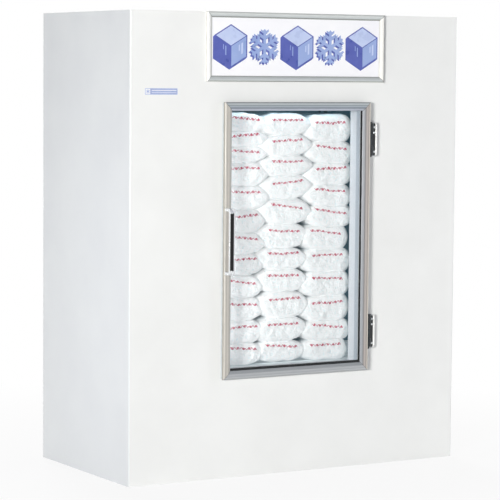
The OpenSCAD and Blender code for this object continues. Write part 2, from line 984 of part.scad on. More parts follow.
module evaporator_motors() {
    color("dimgray")
        at_evap_fans(evap_fan_xs)
            fan_motor(evap_motor_r, evap_motor_len, evap_motor_in, evap_fan_r + 12);
}

// A fan with its shaft: hub and pitched blades cut to a circle
module fan(r, hub, blades, chord, pitch, shaft) {
    deep = chord * sin(pitch) / 2;
    difference() {
        union() {
            translate([0, 0, -deep]) cylinder(h = 2 * deep, r = hub);
            intersection() {
                translate([0, 0, -deep - 5]) cylinder(h = 2 * deep + 10, r = r);
                union()
                    for (i = [0 : blades - 1])
                        rotate([0, 0, i * 360 / blades])
                            rotate([pitch, 0, 0])
                                translate([hub - 4, -chord / 2, -0.8]) cube([r, chord, 1.6]);
            }
        }
        translate([0, 0, deep - 3]) cylinder(h = 10, r = hub - 5);
    }
    translate([0, 0, -shaft]) cylinder(h = shaft, r = fan_shaft_r);
}

module evap_fan() {
    fan(evap_fan_r, 18, 5, evap_chord, 28, evap_motor_in + 14);
}

module evaporator_fan_left() {
    color("darkslategray") at_evap_fans([evap_fan_xs[0]]) evap_fan();
}

module evaporator_fan_right() {
    color("darkslategray") at_evap_fans([evap_fan_xs[1]]) evap_fan();
}

module drip_pan() {
    wall = 1.5;
    color("gainsboro")
        difference() {
            union() {
                translate([-evap_w / 2, evap_front_y, evap_z - pan_h]) cube([evap_w, evap_d, pan_h]);
                translate([drain_out_x, drain_out_y, evap_z - pan_h - 10]) cylinder(h = 11, r = drain_r);
            }
            translate([-evap_w / 2 + wall, evap_front_y + wall, evap_z - pan_h + wall])
                cube([evap_w - 2 * wall, evap_d - 2 * wall, pan_h]);
            translate([drain_out_x, drain_out_y, evap_z - pan_h - 5]) cylinder(h = 20, r = drain_r - 3);
        }
}

module drain_tube() {
    low = evap_z - pan_h - drain_drop;
    color("gray")
        tube([
            [drain_out_x, drain_out_y, evap_z - pan_h - 10],
            [drain_out_x, drain_out_y, low],
            [drain_x, drain_out_y, low],
            [drain_x, pipe_y, low],
            [drain_x, pipe_y, tray_z + tray_h + 20]
        ], drain_r, bend_r);
}

// ---- Light ----

light_z = door_top + light_up;
light_cap = 16;

module light_fitting() {
    color("white") {
        slab([front_x - light_len / 2, in_front, light_z],
             [front_x + light_len / 2, in_front + light_base, light_z + light_h]);
        for (s = [-1, 1])
            translate([front_x + s * (light_len - light_cap) / 2 - light_cap / 2, in_front, light_z])
                cube([light_cap, light_d, light_h]);
    }
}

module light_tube() {
    half = light_len / 2 - light_cap;
    y = in_front + light_d - light_r - 4;
    z = light_z + light_h / 2;
    color("ivory") rod([front_x - half, y, z], [front_x + half, y, z], light_r);
}

// ---- Condensing unit ----

// The hermetic shell: two drawn cups welded at a waist flange
module compressor() {
    dome = 34;
    n = 10;
    r = comp_r;
    plate = 4;
    cup_top = [for (i = [0 : n]) [r * cos(90 * i / n), comp_h - dome + dome * sin(90 * i / n)]];
    cup_low = [for (i = [n : -1 : 0]) [r * 0.96 * cos(90 * i / n), dome - dome * sin(90 * i / n) + plate]];
    waist = comp_h / 2;
    flange = [[r * 0.96, waist], [r + 5, waist], [r + 5, waist + 5], [r, waist + 5]];
    color("black")
        translate([comp_x, comp_y, comp_z]) {
            rotate_extrude() polygon(concat(cup_low, flange, cup_top));
            cylinder(h = dome, r = r * 0.55);
            difference() {
                union() {
                    translate([-r - 8, -r + 18, 0]) cube([2 * r + 16, 2 * r - 36, plate]);
                    translate([-r + 30, -r + 10, 0]) cube([2 * r - 60, 2 * r - 20, plate]);
                }
                for (x = [-1, 1], y = [-1, 1])
                    translate([x * (r - 6), y * (r - 30), -1]) cylinder(h = plate + 2, r = 4);
            }
            translate([r - 4, 0, comp_h * 0.8]) rotate([0, 90, 0]) cylinder(h = 24, r = suction_r);
            translate([-r - 16, 0, comp_h * 0.8]) rotate([0, 90, 0]) cylinder(h = 20, r = discharge_r);
            translate([-22, -r - 14, 70]) cube([44, 24, 50]);
        }
}

module compressor_feet() {
    r = comp_r;
    color("dimgray")
        for (x = [-1, 1], y = [-1, 1])
            translate([comp_x + x * (r - 6), comp_y + y * (r - 30), base_t]) {
                cylinder(h = foot_h, r = 11);
                cylinder(h = foot_h + 3, r = 3.8);
            }
}

module condenser_coil() {
    color("lightsteelblue")
        translate([cond_x, cond_front_y, cond_mid]) {
            fin_block(cond_w, cond_d, cond_h, cond_pitch, 0.8);
            for (s = [-1, 1]) {
                translate([s * (cond_w / 2 - 1) - 1, 0, -cond_h / 2]) cube([2, cond_d, cond_h]);
                return_bends(s * cond_w / 2, s, cond_d, cond_h - 20, 4.5);
            }
        }
    color("peru")
        for (p = [[cond_z + 200, discharge_r], [cond_z + 36, liquid_r]])
            rod([cond_x + cond_w / 2 - 1, cond_front_y + cond_d / 2 + 12, p[0]],
                [cond_stub_x, cond_front_y + cond_d / 2 + 12, p[0]], p[1]);
    color("silver")
        for (s = [-1, 1])
            translate([cond_x + s * (cond_w / 2 - 16) - 15, cond_front_y, base_t])
                cube([30, cond_d, cond_z - base_t + 3]);
}

module condenser_shroud() {
    y = cond_front_y - shroud_d;
    color("dimgray")
        difference() {
            slab([cond_x - cond_w / 2, y, base_t], [cond_x + cond_w / 2, cond_front_y, cond_z + cond_h]);
            slab([cond_x - cond_w / 2 + 1.5, y + 1.5, base_t + 1.5],
                 [cond_x + cond_w / 2 - 1.5, cond_front_y + 1, cond_z + cond_h - 1.5]);
            rod_y([cond_x, y - 5, cond_mid], cond_fan_r + 5, 10);
        }
}

cond_fan_y = cond_front_y - shroud_d;

// The motor on its bracket, a plate that stands on a foot on the base pan
module condenser_motor() {
    y = cond_fan_y - cond_motor_out;
    color("dimgray")
        difference() {
            union() {
                rod_y([cond_x, y - cond_motor_len, cond_mid], cond_motor_r, cond_motor_len);
                rod_y([cond_x, y - 1, cond_mid], cond_motor_r / 2.7, 5);
                translate([cond_x - cond_bracket_w / 2, y - 60, base_t])
                    cube([cond_bracket_w, 3, cond_mid - base_t - cond_motor_r / 2]);
                translate([cond_x - cond_bracket_w / 2, y - 80, base_t]) cube([cond_bracket_w, 60, 3]);
            }
            rod_y([cond_x, y - 20, cond_mid], fan_shaft_r + run_gap, 30);
        }
}

module condenser_fan() {
    color("darkslategray")
        translate([cond_x, cond_fan_y, cond_mid])
            rotate([-90, 0, 0]) fan(cond_fan_r, 26, 5, cond_chord, 24, cond_motor_out + 16);
}

module suction_line() {
    color("peru")
        tube([
            [comp_x + comp_r + 20, comp_y, comp_z + comp_h * 0.8],
            [suction_x, comp_y, comp_z + comp_h * 0.8],
            [suction_x, pipe_y, comp_z + comp_h * 0.8],
            [suction_x, pipe_y, suction_end.z],
            [suction_x, suction_end.y, suction_end.z],
            suction_end
        ], suction_r, bend_r);
}

// The discharge tube to the condenser, then the liquid tube with its filter drier
module liquid_line() {
    cy = cond_front_y + cond_d / 2 + 12;
    dz = cond_z + 200;
    lz = cond_z + 36;
    side_x = cond_stub_x + 30;
    color("peru") {
        tube([
            [comp_x - comp_r - 16, comp_y, comp_z + comp_h * 0.8],
            [side_x, comp_y, comp_z + comp_h * 0.8],
            [side_x, comp_y, dz],
            [side_x, cy, dz],
            [cond_stub_x, cy, dz]
        ], discharge_r, 12);
        tube([
            [cond_stub_x, cy, lz],
            [liquid_x, cy, lz],
            [liquid_x, pipe_y, lz],
            [liquid_x, pipe_y, liquid_end.z],
            [liquid_x, liquid_end.y, liquid_end.z],
            liquid_end
        ], liquid_r, bend_r);
        rod([180, cy, lz], [270, cy, lz], 16);
    }
}

tray_z = base_t;

module condensate_tray() {
    wall = 2;
    color("dimgray")
        translate([drain_x - tray_w / 2, pipe_y + 50 - tray_d, tray_z])
            difference() {
                cube([tray_w, tray_d, tray_h]);
                translate([wall, wall, wall]) cube([tray_w - 2 * wall, tray_d - 2 * wall, tray_h]);
            }
}

// ---- Controls and grille ----

knob_z = box_top - 52;
gland_z = box_top - box_h + 32;
switch_x = box_x + 32;
switch_y = box_back - 4;

module control_box() {
    color("gray")
        difference() {
            union() {
                slab([box_x - box_w / 2, box_back - box_d, box_top - box_h],
                     [box_x + box_w / 2, box_back, box_top]);
                rod_y([box_x - 30, box_back - 1, gland_z], 11, 9);
                rod_y([box_x - 30, box_back - 1, gland_z], 8, 15);
            }
            slab([box_x - box_w / 2 + 2, box_back - box_d + 2, box_top - box_h + 2],
                 [box_x + box_w / 2 - 2, box_back - 16, box_top - 2]);
            rod_y([box_x - 30, box_back - 12, gland_z], 4.5, 40);
            rod_y([box_x, box_back - 12, knob_z], 3 + run_gap, 20);
            translate([switch_x - 10.5, switch_y - 9, gland_z - 14.5]) cube([21, 30, 29]);
            rod([switch_x - 13, switch_y, gland_z], [switch_x + 13, switch_y, gland_z], 1.5 + run_gap);
        }
}

// The rocker of the light switch, tipped to its off side on a pivot along X
module light_switch() {
    color("black")
        translate([switch_x, switch_y, gland_z])
            rotate([-8, 0, 0]) {
                translate([-10, 0, 0])
                    rotate([90, 0, 90])
                        linear_extrude(height = 20)
                            polygon([
                                [-4, -8], [-4, 8], [3, 12.5], [7, 12.5], [4.5, 0], [7, -12.5], [3, -12.5]
                            ]);
                rod([-12.5, 0, 0], [12.5, 0, 0], 1.5);
            }
}

module thermostat_knob() {
    color("black")
        translate([box_x, box_back, knob_z])
            rotate([-90, 0, 0]) {
                translate([0, 0, 1]) cylinder(h = 5, r = knob_r);
                translate([0, 0, 1]) cylinder(h = 14, r = knob_r - 4);
                translate([-2, 0, 13]) cube([4, knob_r - 4.5, 4]);
                translate([0, 0, -10]) cylinder(h = 12, r = 3);
            }
}

module rear_grille() {
    lap = 14;
    cols = 3;
    bar = 24;
    col_w = (grille_w - (cols + 1) * bar) / cols;
    pitch = (grille_h - 2 * bar) / louvres;
    plate_y = back_y - skin_t - sheet_t;
    color("lightgray") {
        difference() {
            slab([grille_x - grille_w / 2 - lap, plate_y, grille_z - lap],
                 [grille_x + grille_w / 2 + lap, plate_y + sheet_t, grille_z + grille_h + lap]);
            for (c = [0 : cols - 1])
                translate([grille_x - grille_w / 2 + bar + c * (col_w + bar), plate_y - 1, grille_z + bar])
                    cube([col_w, sheet_t + 2, grille_h - 2 * bar]);
        }
        for (c = [0 : cols - 1], i = [0 : louvres - 1])
            translate([grille_x - grille_w / 2 + bar + c * (col_w + bar) - 1, plate_y,
                       grille_z + bar + i * pitch])
                rotate([90, 0, 90])
                    linear_extrude(height = col_w + 2)
                        polygon([[0, 0], [sheet_t, 0], [sheet_t, 2], [-10, pitch * 0.75],
                                 [-11, pitch * 0.75 - 1], [0, 1]]);
    }
}

base_pan();
left_side_panel();
right_side_panel();
front_panel();
back_panel();
top_panel();
left_insulation();
right_insulation();
front_insulation();
back_insulation();
ceiling_insulation();
floor_insulation();
side_liners();
front_liner();
back_liner();
ceiling_liner();
floor_liner();
deck_plate();
door_jamb();
sign_rails();
sign_stiles();
sign_panel();
floor_rack();
ice_bags();
evaporator_housing();
evaporator_coil();
fan_guards();
evaporator_motors();
drip_pan();
drain_tube();
light_fitting();
light_tube();
compressor();
compressor_feet();
condenser_coil();
condenser_shroud();
condenser_motor();
suction_line();
liquid_line();
condensate_tray();
control_box();
rear_grille();
cabinet_hinges();
hinge_pins();
door_top_rail();
door_bottom_rail();
door_latch_stile();
door_hinge_stile();
glass_panes();
glass_spacers();
glazing_bead();
door_gasket();
door_handle();
handle_inlay();
door_hinges();
evaporator_fan_left();
evaporator_fan_right();
condenser_fan();
thermostat_knob();
light_switch();
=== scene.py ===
import math

import bmesh
import bpy
import numpy as np
from mathutils import Matrix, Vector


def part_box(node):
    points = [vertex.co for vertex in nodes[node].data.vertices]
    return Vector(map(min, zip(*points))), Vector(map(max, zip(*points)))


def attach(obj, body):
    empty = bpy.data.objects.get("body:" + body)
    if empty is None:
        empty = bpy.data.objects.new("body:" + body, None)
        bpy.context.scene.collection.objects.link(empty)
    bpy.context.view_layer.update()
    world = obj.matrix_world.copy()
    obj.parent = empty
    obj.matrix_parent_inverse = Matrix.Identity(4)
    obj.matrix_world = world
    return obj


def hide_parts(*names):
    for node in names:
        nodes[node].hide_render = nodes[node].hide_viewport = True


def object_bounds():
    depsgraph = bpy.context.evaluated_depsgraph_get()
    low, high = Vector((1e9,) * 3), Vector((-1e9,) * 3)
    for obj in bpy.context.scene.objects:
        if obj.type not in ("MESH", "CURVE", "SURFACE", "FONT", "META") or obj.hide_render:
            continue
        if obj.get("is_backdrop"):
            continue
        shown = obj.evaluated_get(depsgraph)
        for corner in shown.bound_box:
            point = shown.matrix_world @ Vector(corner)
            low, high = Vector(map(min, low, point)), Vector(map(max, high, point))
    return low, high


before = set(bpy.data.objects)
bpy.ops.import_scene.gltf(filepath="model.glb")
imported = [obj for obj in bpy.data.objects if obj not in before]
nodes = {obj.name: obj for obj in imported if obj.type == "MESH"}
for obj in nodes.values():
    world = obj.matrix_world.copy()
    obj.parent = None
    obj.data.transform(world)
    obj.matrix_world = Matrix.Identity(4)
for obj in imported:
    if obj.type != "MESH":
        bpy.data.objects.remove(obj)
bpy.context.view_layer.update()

# ---- Camera ----
# The photograph's place and lens, worked out from the cabinet's six visible corners: a long
# lens a little below the top of the cabinet, turned 30 degrees to the right and looking
# slightly down.


def stood(across, upward, back, place):
    """The matrix of a camera or a lamp at a place, from the directions of its own X, Y and Z."""
    return Matrix((*np.stack([across, upward, back, place], -1).tolist(), (0, 0, 0, 1)))


camera_data = bpy.data.cameras.new("camera")
camera_data.lens = 160.2
camera_data.sensor_width = 36
camera_data.clip_start = 0.1
camera_data.clip_end = 80
camera = bpy.data.objects.new("camera", camera_data)
bpy.context.scene.collection.objects.link(camera)
bpy.context.scene.camera = camera
eye = (-5.046, -8.562, 1.7255)
yaw, pitch, roll = math.radians(30.52), math.radians(-4.55), math.radians(0.48)
ahead = np.array([
    math.sin(yaw) * math.cos(pitch), math.cos(yaw) * math.cos(pitch), math.sin(pitch)])
level = np.array([math.cos(yaw), -math.sin(yaw), 0.0])
upright = np.cross(level, ahead)
across = level * math.cos(roll) + upright * math.sin(roll)
upward = upright * math.cos(roll) - level * math.sin(roll)
camera.matrix_world = stood(across, upward, -ahead, eye)

# ---- Painted shell ----
# Folded steel sheets that wrap the cabinet: the front with its doorway, two sides with hems,
# the back and the top. They are sprayed with white enamel and baked. The base pan and the deck
# over it are bare galvanised steel.
MM = 0.001


def linear(hex_colour, alpha=1.0):
    """A colour written as sRGB hex, turned to linear: ((c + 0.055) / 1.055) to the power 2.4, or
    c / 12.92 where it is nearly black."""
    c = np.array([int(hex_colour[i:i + 2], 16) / 255 for i in (1, 3, 5)])
    c = np.where(c <= 0.04045, c / 12.92, ((c + 0.055) / 1.055) ** 2.4)
    return (*[float(x) for x in c], alpha)


def node(tree, kind, inputs=None, **settings):
    """Adds one node. inputs maps a socket's name or number to a value or to another socket."""
    made = tree.nodes.new(kind)
    for key, value in settings.items():
        setattr(made, key, value)
    for key, value in (inputs or {}).items():
        if isinstance(value, bpy.types.NodeSocket):
            tree.links.new(value, made.inputs[key])
        else:
            made.inputs[key].default_value = value
    return made


def blank(name):
    """A new material with nothing in its node tree."""
    material = bpy.data.materials.new(name)
    material.use_nodes = True
    material.node_tree.nodes.clear()
    return material


def skin_of(material):
    """The shader of a finish, where a pattern of its own is linked in."""
    return [n for n in material.node_tree.nodes if n.type == "BSDF_PRINCIPLED"][0]


def finish_of(name, low, high, grain_mm, rough, metal=0.0, bump=0.0, bump_mm=None, coat=0.0):
    """A surface whose colour wanders between two shades in patches of grain_mm, with its
    roughness wandering too and a fine relief of bump, in mm, on a pattern bump_mm wide."""
    material = blank(name)
    tree = material.node_tree
    place = node(tree, "ShaderNodeTexCoord")
    grain = node(tree, "ShaderNodeTexNoise", {
        "Vector": place.outputs["Object"], "Scale": 1 / (grain_mm * MM), "Detail": 3.0,
        "Roughness": 0.55})
    tint = node(tree, "ShaderNodeValToRGB", {"Fac": grain.outputs["Fac"]})
    tint.color_ramp.elements[0].position = 0.32
    tint.color_ramp.elements[0].color = linear(low)
    tint.color_ramp.elements[1].position = 0.68
    tint.color_ramp.elements[1].color = linear(high)
    gloss = node(tree, "ShaderNodeMapRange", {
        "Value": grain.outputs["Fac"], "From Min": 0.3, "From Max": 0.7,
        "To Min": max(0.02, rough - 0.05), "To Max": rough + 0.05})
    skin = node(tree, "ShaderNodeBsdfPrincipled", {
        "Base Color": tint.outputs[0], "Roughness": gloss.outputs[0], "Metallic": metal,
        "Coat Weight": coat, "Coat Roughness": 0.1})
    if bump:
        fine = node(tree, "ShaderNodeTexNoise", {
            "Vector": place.outputs["Object"], "Scale": 1 / ((bump_mm or grain_mm) * MM),
            "Detail": 2.0})
        relief = node(tree, "ShaderNodeBump", {
            "Height": fine.outputs["Fac"], "Distance": bump * MM, "Strength": 1.0})
        tree.links.new(relief.outputs[0], skin.inputs["Normal"])
    node(tree, "ShaderNodeOutputMaterial", {"Surface": skin.outputs[0]})
    return material


def dress(material, *names):
    """Puts one material on CAD nodes."""
    for name in names:
        nodes[name].data.materials.clear()
        nodes[name].data.materials.append(material)


def enamel(name, low, high):
    """Enamel, sprayed and baked: an even colour under a thin gloss, with ripples 4 mm wide that
    soften what it mirrors."""
    return finish_of(name, low, high, 260, 0.34, bump=0.02, bump_mm=4, coat=0.12)


dress(enamel("white baked enamel on steel", "#F0F0EE", "#F4F4F2"), "top_panel", "back_panel")

# The front sheet bends back round the cabinet's corners. Its returns face the sides and are painted
# darker like them, as painted shade, which comes in over the bend, at these distances from the middle in
# m.
bend_from, bend_to = 0.8165, 0.8205
front_enamel = enamel("white baked enamel of the front", "#F0F0EE", "#F4F4F2")
tree = front_enamel.node_tree
skin = skin_of(front_enamel)
plain_coat = skin.inputs["Base Color"].links[0].from_socket
place = node(tree, "ShaderNodeTexCoord")
split = node(tree, "ShaderNodeSeparateXYZ", {"Vector": place.outputs["Object"]})
from_middle = node(tree, "ShaderNodeMath", {0: split.outputs["X"]}, operation="ABSOLUTE")
return_shade_mask = node(tree, "ShaderNodeMapRange", {
    "Value": from_middle.outputs[0], "From Min": bend_from, "From Max": bend_to})
# Painted shade: the returns take the darker, cooler colour of the sides.
painted_shade_returns = node(tree, "ShaderNodeMix", {
    "Factor": return_shade_mask.outputs[0], 6: plain_coat, 7: linear("#D4D6D7")}, data_type="RGBA")
tree.links.new(painted_shade_returns.outputs[2], skin.inputs["Base Color"])
dress(front_enamel, "front_panel")
# The sides are the same white enamel as the front, painted darker and cooler as painted shade, for the
# lesser light that falls on them.
dress(enamel("white baked enamel of the sides, darkened as painted shade", "#D1D3D5", "#D6D8D9"),
      "left_side_panel", "right_side_panel")

# Zinc dipped steel is a grey metal with soft spangles about 14 mm wide.
galvanised = finish_of("galvanised steel sheet", "#9FA4A6", "#B9BEC0", 14, 0.42, metal=1.0)
dress(galvanised, "base_pan", "deck_plate")

# ---- Foam and liner ----
# Polyurethane foam is blown in between the sheets and the liner, and fills the walls. The
# liner is coated steel that faces the cold room.


def add_painted_glow(material, strength):
    """Adds painted light: a faint glow in a finish's own colour, standing in for the tube's light that
    the ice spreads.
    """
    skin = skin_of(material)
    colour = skin.inputs["Base Color"].links[0].from_socket
    material.node_tree.links.new(colour, skin.inputs["Emission Color"])
    skin.inputs["Emission Strength"].default_value = strength


# Foam is matt and yellowish. Its cells are under 1 mm wide and drawn 2 mm wide, so that they
# show.
foam = finish_of("rigid polyurethane foam", "#D9C48C", "#E6D6A4", 6, 0.9, bump=0.3, bump_mm=2)
dress(foam, "left_insulation", "right_insulation", "front_insulation", "back_insulation",
      "ceiling_insulation", "floor_insulation")

# The coat is smooth and blue-green. It has a faint glow in its own colour, painted light that stands in
# for the tube's light.
liner = finish_of("coated liner steel", "#79A5B5", "#8FB7C5", 180, 0.35, bump=0.02, bump_mm=5)
add_painted_glow(liner, 0.05)
dress(liner, "side_liners", "front_liner", "back_liner", "ceiling_liner", "floor_liner")

# ---- Plate on the front ----
# A small plate of printed vinyl, stuck to the left of the front. It is blue with a white
# edge, and holds a star in a square and two plain lines.


def add_piece(name, points, faces, material, body, slot, smooth=False):
    """Makes a mesh piece from points in mm and faces, turns the faces outward, and has the
    piece ride on a body."""
    mesh = bpy.data.meshes.new(name)
    mesh.from_pydata((np.asarray(points) * MM).tolist(), [], [list(f) for f in faces])
    shell = bmesh.new()
    shell.from_mesh(mesh)
    bmesh.ops.recalc_face_normals(shell, faces=shell.faces)
    shell.to_mesh(mesh)
    shell.free()
    mesh.polygons.foreach_set("use_smooth", np.full(len(mesh.polygons), smooth))
    mesh.materials.append(material)
    made = bpy.data.objects.new(name, mesh)
    bpy.context.scene.collection.objects.link(made)
    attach(made, body)
    return made


def flat_shapes(outlines, wall_y, out):
    """Thin plates cut to convex outlines of (x, z) points, in mm. They lie on a wall at wall_y
    and stand out of it towards -Y, or towards +Y where out is negative."""
    points, faces, start = [], [], 0
    for outline in outlines:
        outline = np.asarray(outline, float)
        n = len(outline)
        for y in (wall_y - out, wall_y):
            points.append(np.stack([outline[:, 0], np.full(n, y), outline[:, 1]], -1))
        i = np.arange(n)
        k = (i + 1) % n
        faces += [(start + i).tolist(), (start + n + i[::-1]).tolist()]
        faces += (start + np.stack([k, i, i + n, k + n], -1)).tolist()
        start += 2 * n
    return np.concatenate(points), faces


def rounded(x0, z0, x1, z1, r):
    """A rectangle whose corners are quarter circles of radius r."""
    mid = np.array([[x1 - r, z1 - r], [x0 + r, z1 - r], [x0 + r, z0 + r], [x1 - r, z0 + r]])
    a = np.radians(np.linspace(0, 90, 7)[None, :] + np.arange(0, 360, 90)[:, None])
    return (mid[:, None, :] + r * np.stack([np.cos(a), np.sin(a)], -1)).reshape(-1, 2)


def crystal(x, z, r, wide, branches=((0.42, 0.62, 0.34), (0.74, 0.88, 0.2))):
    """The outline of a six-armed ice crystal. An arm is a bar of the given width with a pointed
    end. Its branches leave both sides at 60 degrees; each is given by where it starts and ends
    along the arm and by its length, as shares of the radius."""
    h = wide / 2
    lean = np.array([math.cos(math.radians(60)), math.sin(math.radians(60))])
    upper = [np.array([h / math.tan(math.radians(30)), h])]
    for start, end, length in branches:
        foot, heel = np.array([r * start, h]), np.array([r * end, h])
        upper += [foot, foot + lean * r * length, heel + lean * r * length, heel]
    upper += [np.array([r - h, h]), np.array([r, 0])]
    upper = np.array(upper)
    arm = np.concatenate([upper[1:-1] * [1, -1], upper[::-1]])
    turns = [math.radians(30 + 60 * k) for k in range(6)]
    return np.concatenate([np.stack([
        x + arm[:, 0] * math.cos(t) - arm[:, 1] * math.sin(t),
        z + arm[:, 0] * math.sin(t) + arm[:, 1] * math.cos(t)], -1) for t in turns])


front_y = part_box("front_panel")[0].y / MM
plate_x0, plate_z0, plate_x1, plate_z1 = -754.5, 1631.5, -599.5, 1660.3
edge_wide = 1.6
square_in, square_wide = 3.5, 22
star_r, star_wide = 8.5, 2.4
line_x0, line_x1 = -722, -606
lines = ((1648.5, 1652, 1), (1640.2, 1642, 0.8))
square = (plate_x0 + square_in, plate_z0 + square_in, plate_x0 + square_in + square_wide,
          plate_z1 - square_in)

# Printed vinyl film is even in colour and has a dull shine.
white_film = finish_of("white vinyl film", "#EDEFF6", "#F6F7FB", 30, 0.35)
blue_film = finish_of("pale blue vinyl film", "#9CA9D2", "#ABB7DE", 24, 0.35)
add_piece("front_plate_edge", *flat_shapes([
    rounded(plate_x0, plate_z0, plate_x1, plate_z1, 3)], front_y, 0.5),
    white_film, "cabinet", "sign_face")
add_piece("front_plate", *flat_shapes([
    rounded(plate_x0 + edge_wide, plate_z0 + edge_wide, plate_x1 - edge_wide, plate_z1 - edge_wide, 2)],
    front_y, 0.7), blue_film, "cabinet", "sign_face")
add_piece("front_plate_marks", *flat_shapes(
    [rounded(*square, 1.5)] + [rounded(line_x0, low, line_x1, high, r) for low, high, r in lines],
    front_y, 0.9), white_film, "cabinet", "sign_face")
add_piece("front_plate_star", *flat_shapes([crystal(
    (square[0] + square[2]) / 2, (square[1] + square[3]) / 2, star_r, star_wide, ())], front_y, 1.1),
    blue_film, "cabinet", "sign_face")

# ---- Sign ----
# A printed acrylic sheet in four mitred aluminium bars over the door. The print is a plain
# winter pattern, three blocks of ice and two crystals, each with a dark drop shade.


def corners_mm(box):
    """The lowest and the highest corner of a box, in mm."""
    return [np.array(corner) / MM for corner in box]


def banded(name, axis, start, end, bands, rough, metal, corners=None):
    """A finish in bands of colour across a piece, between two places on an axis, in mm. Most of its uses
    paint light and shade into the bands: painted highlights on lips, painted shade in grooves and
    recesses. bands lists how far each starts from the first place and its colour. Grooves are 1 to 2 mm
    wide in a real bar and are drawn about 4 mm wide here, since finer ones don't show at this size.
    corners are the frame's lowest and highest corner: they place the dark lines of its mitre joints,
    where the way in from both edges is the same."""
    material = finish_of(name, bands[0][1], bands[0][1], 40, rough, metal=metal)
    tree = material.node_tree
    place = node(tree, "ShaderNodeTexCoord")
    split = node(tree, "ShaderNodeSeparateXYZ", {"Vector": place.outputs["Object"]})
    from_edge = node(tree, "ShaderNodeMapRange", {
        "Value": split.outputs[axis], "From Min": start * MM, "From Max": end * MM})
    lines = node(tree, "ShaderNodeValToRGB", {"Fac": from_edge.outputs[0]})
    while len(lines.color_ramp.elements) < len(bands):
        lines.color_ramp.elements.new(0.5)
    for stop, (along, colour) in zip(lines.color_ramp.elements, bands):
        stop.position = along / abs(end - start)
        stop.color = linear(colour)
    # The finish has fine streaks along the bar. They are drawn 1.1 mm wide, so that they show:
    # 900 in a metre across the bar and 40 along it.
    streaks = (900, 40, 40) if axis == "X" else (40, 40, 900)
    brushed = node(tree, "ShaderNodeMapping", {"Vector": place.outputs["Object"], "Scale": streaks})
    streak = node(tree, "ShaderNodeTexNoise", {
        "Vector": brushed.outputs[0], "Scale": 1.0, "Detail": 2.0})
    depth = node(tree, "ShaderNodeMapRange", {
        "Value": streak.outputs["Fac"], "From Min": 0.3, "From Max": 0.7,
        "To Min": 0.95, "To Max": 1.03})
    shade = depth.outputs[0]
    if corners is not None:
        mitre_from, mitre_to = 0.8 * MM, 2.2 * MM
        ways = []
        for way, low, high in (("X", corners[0][0], corners[1][0]), ("Z", corners[0][2], corners[1][2])):
            away = node(tree, "ShaderNodeMath", {
                0: split.outputs[way], 1: -(low + high) / 2 * MM}, operation="ADD")
            away = node(tree, "ShaderNodeMath", {0: away.outputs[0]}, operation="ABSOLUTE")
            ways.append(node(tree, "ShaderNodeMath", {
                0: (high - low) / 2 * MM, 1: away.outputs[0]}, operation="SUBTRACT"))
        gap = node(tree, "ShaderNodeMath", {
            0: ways[0].outputs[0], 1: ways[1].outputs[0]}, operation="SUBTRACT")
        gap = node(tree, "ShaderNodeMath", {0: gap.outputs[0]}, operation="ABSOLUTE")
        joint = node(tree, "ShaderNodeMapRange", {
            "Value": gap.outputs[0], "From Min": mitre_from, "From Max": mitre_to,
            "To Min": 0.5, "To Max": 1.0})
        shade = node(tree, "ShaderNodeMath", {
            0: shade, 1: joint.outputs[0]}, operation="MULTIPLY").outputs[0]
    worn = node(tree, "ShaderNodeVectorMath", {0: lines.outputs[0], 1: shade}, operation="MULTIPLY")
    tree.links.new(worn.outputs[0], skin_of(material).inputs["Base Color"])
    return material


# Anodising leaves a soft grey sheen with no sharp reflections. The bands are painted light and shade:
# painted shade in the grooves and along some edges, painted highlights on the lips, and the rails
# painted greyer than the stiles for how the light falls on them.
frame_low, frame_high = sign_corners = corners_mm(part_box("sign_stiles"))
tall, wide = frame_high[2] - frame_low[2], frame_high[0] - frame_low[0]
dress(banded("pale anodised aluminium, sign rails", "Z", frame_low[2], frame_high[2], [
    (0, "#85887F"), (3, "#A5A8A4"), (5.5, "#D6DADA"), (17, "#D0D4D4"), (20, "#B2B5B2"),
    (24, "#A9ACA9"), (tall / 2, "#A9ACA9"),
    (tall - 24, "#7D817B"), (tall - 20, "#989C97"), (tall - 17, "#C5CACB"),
    (tall - 5, "#D5D8D5"), (tall, "#C2C5C2")], 0.42, 0.4, sign_corners), "sign_rails")
dress(banded("pale anodised aluminium, sign stiles", "X", frame_low[0], frame_high[0], [
    (0, "#D8D7D2"), (3, "#F3F2EE"), (19, "#EDECE7"), (22, "#C2C1BC"), (24, "#BDBCB7"),
    (wide / 2, "#BDBCB7"), (wide - 24, "#C4C3BD"), (wide - 20, "#EAE9E4"),
    (wide - 5, "#E6E4DE"), (wide - 3, "#A3A29C"), (wide, "#8C8B85")],
    0.42, 0.3, sign_corners), "sign_stiles")

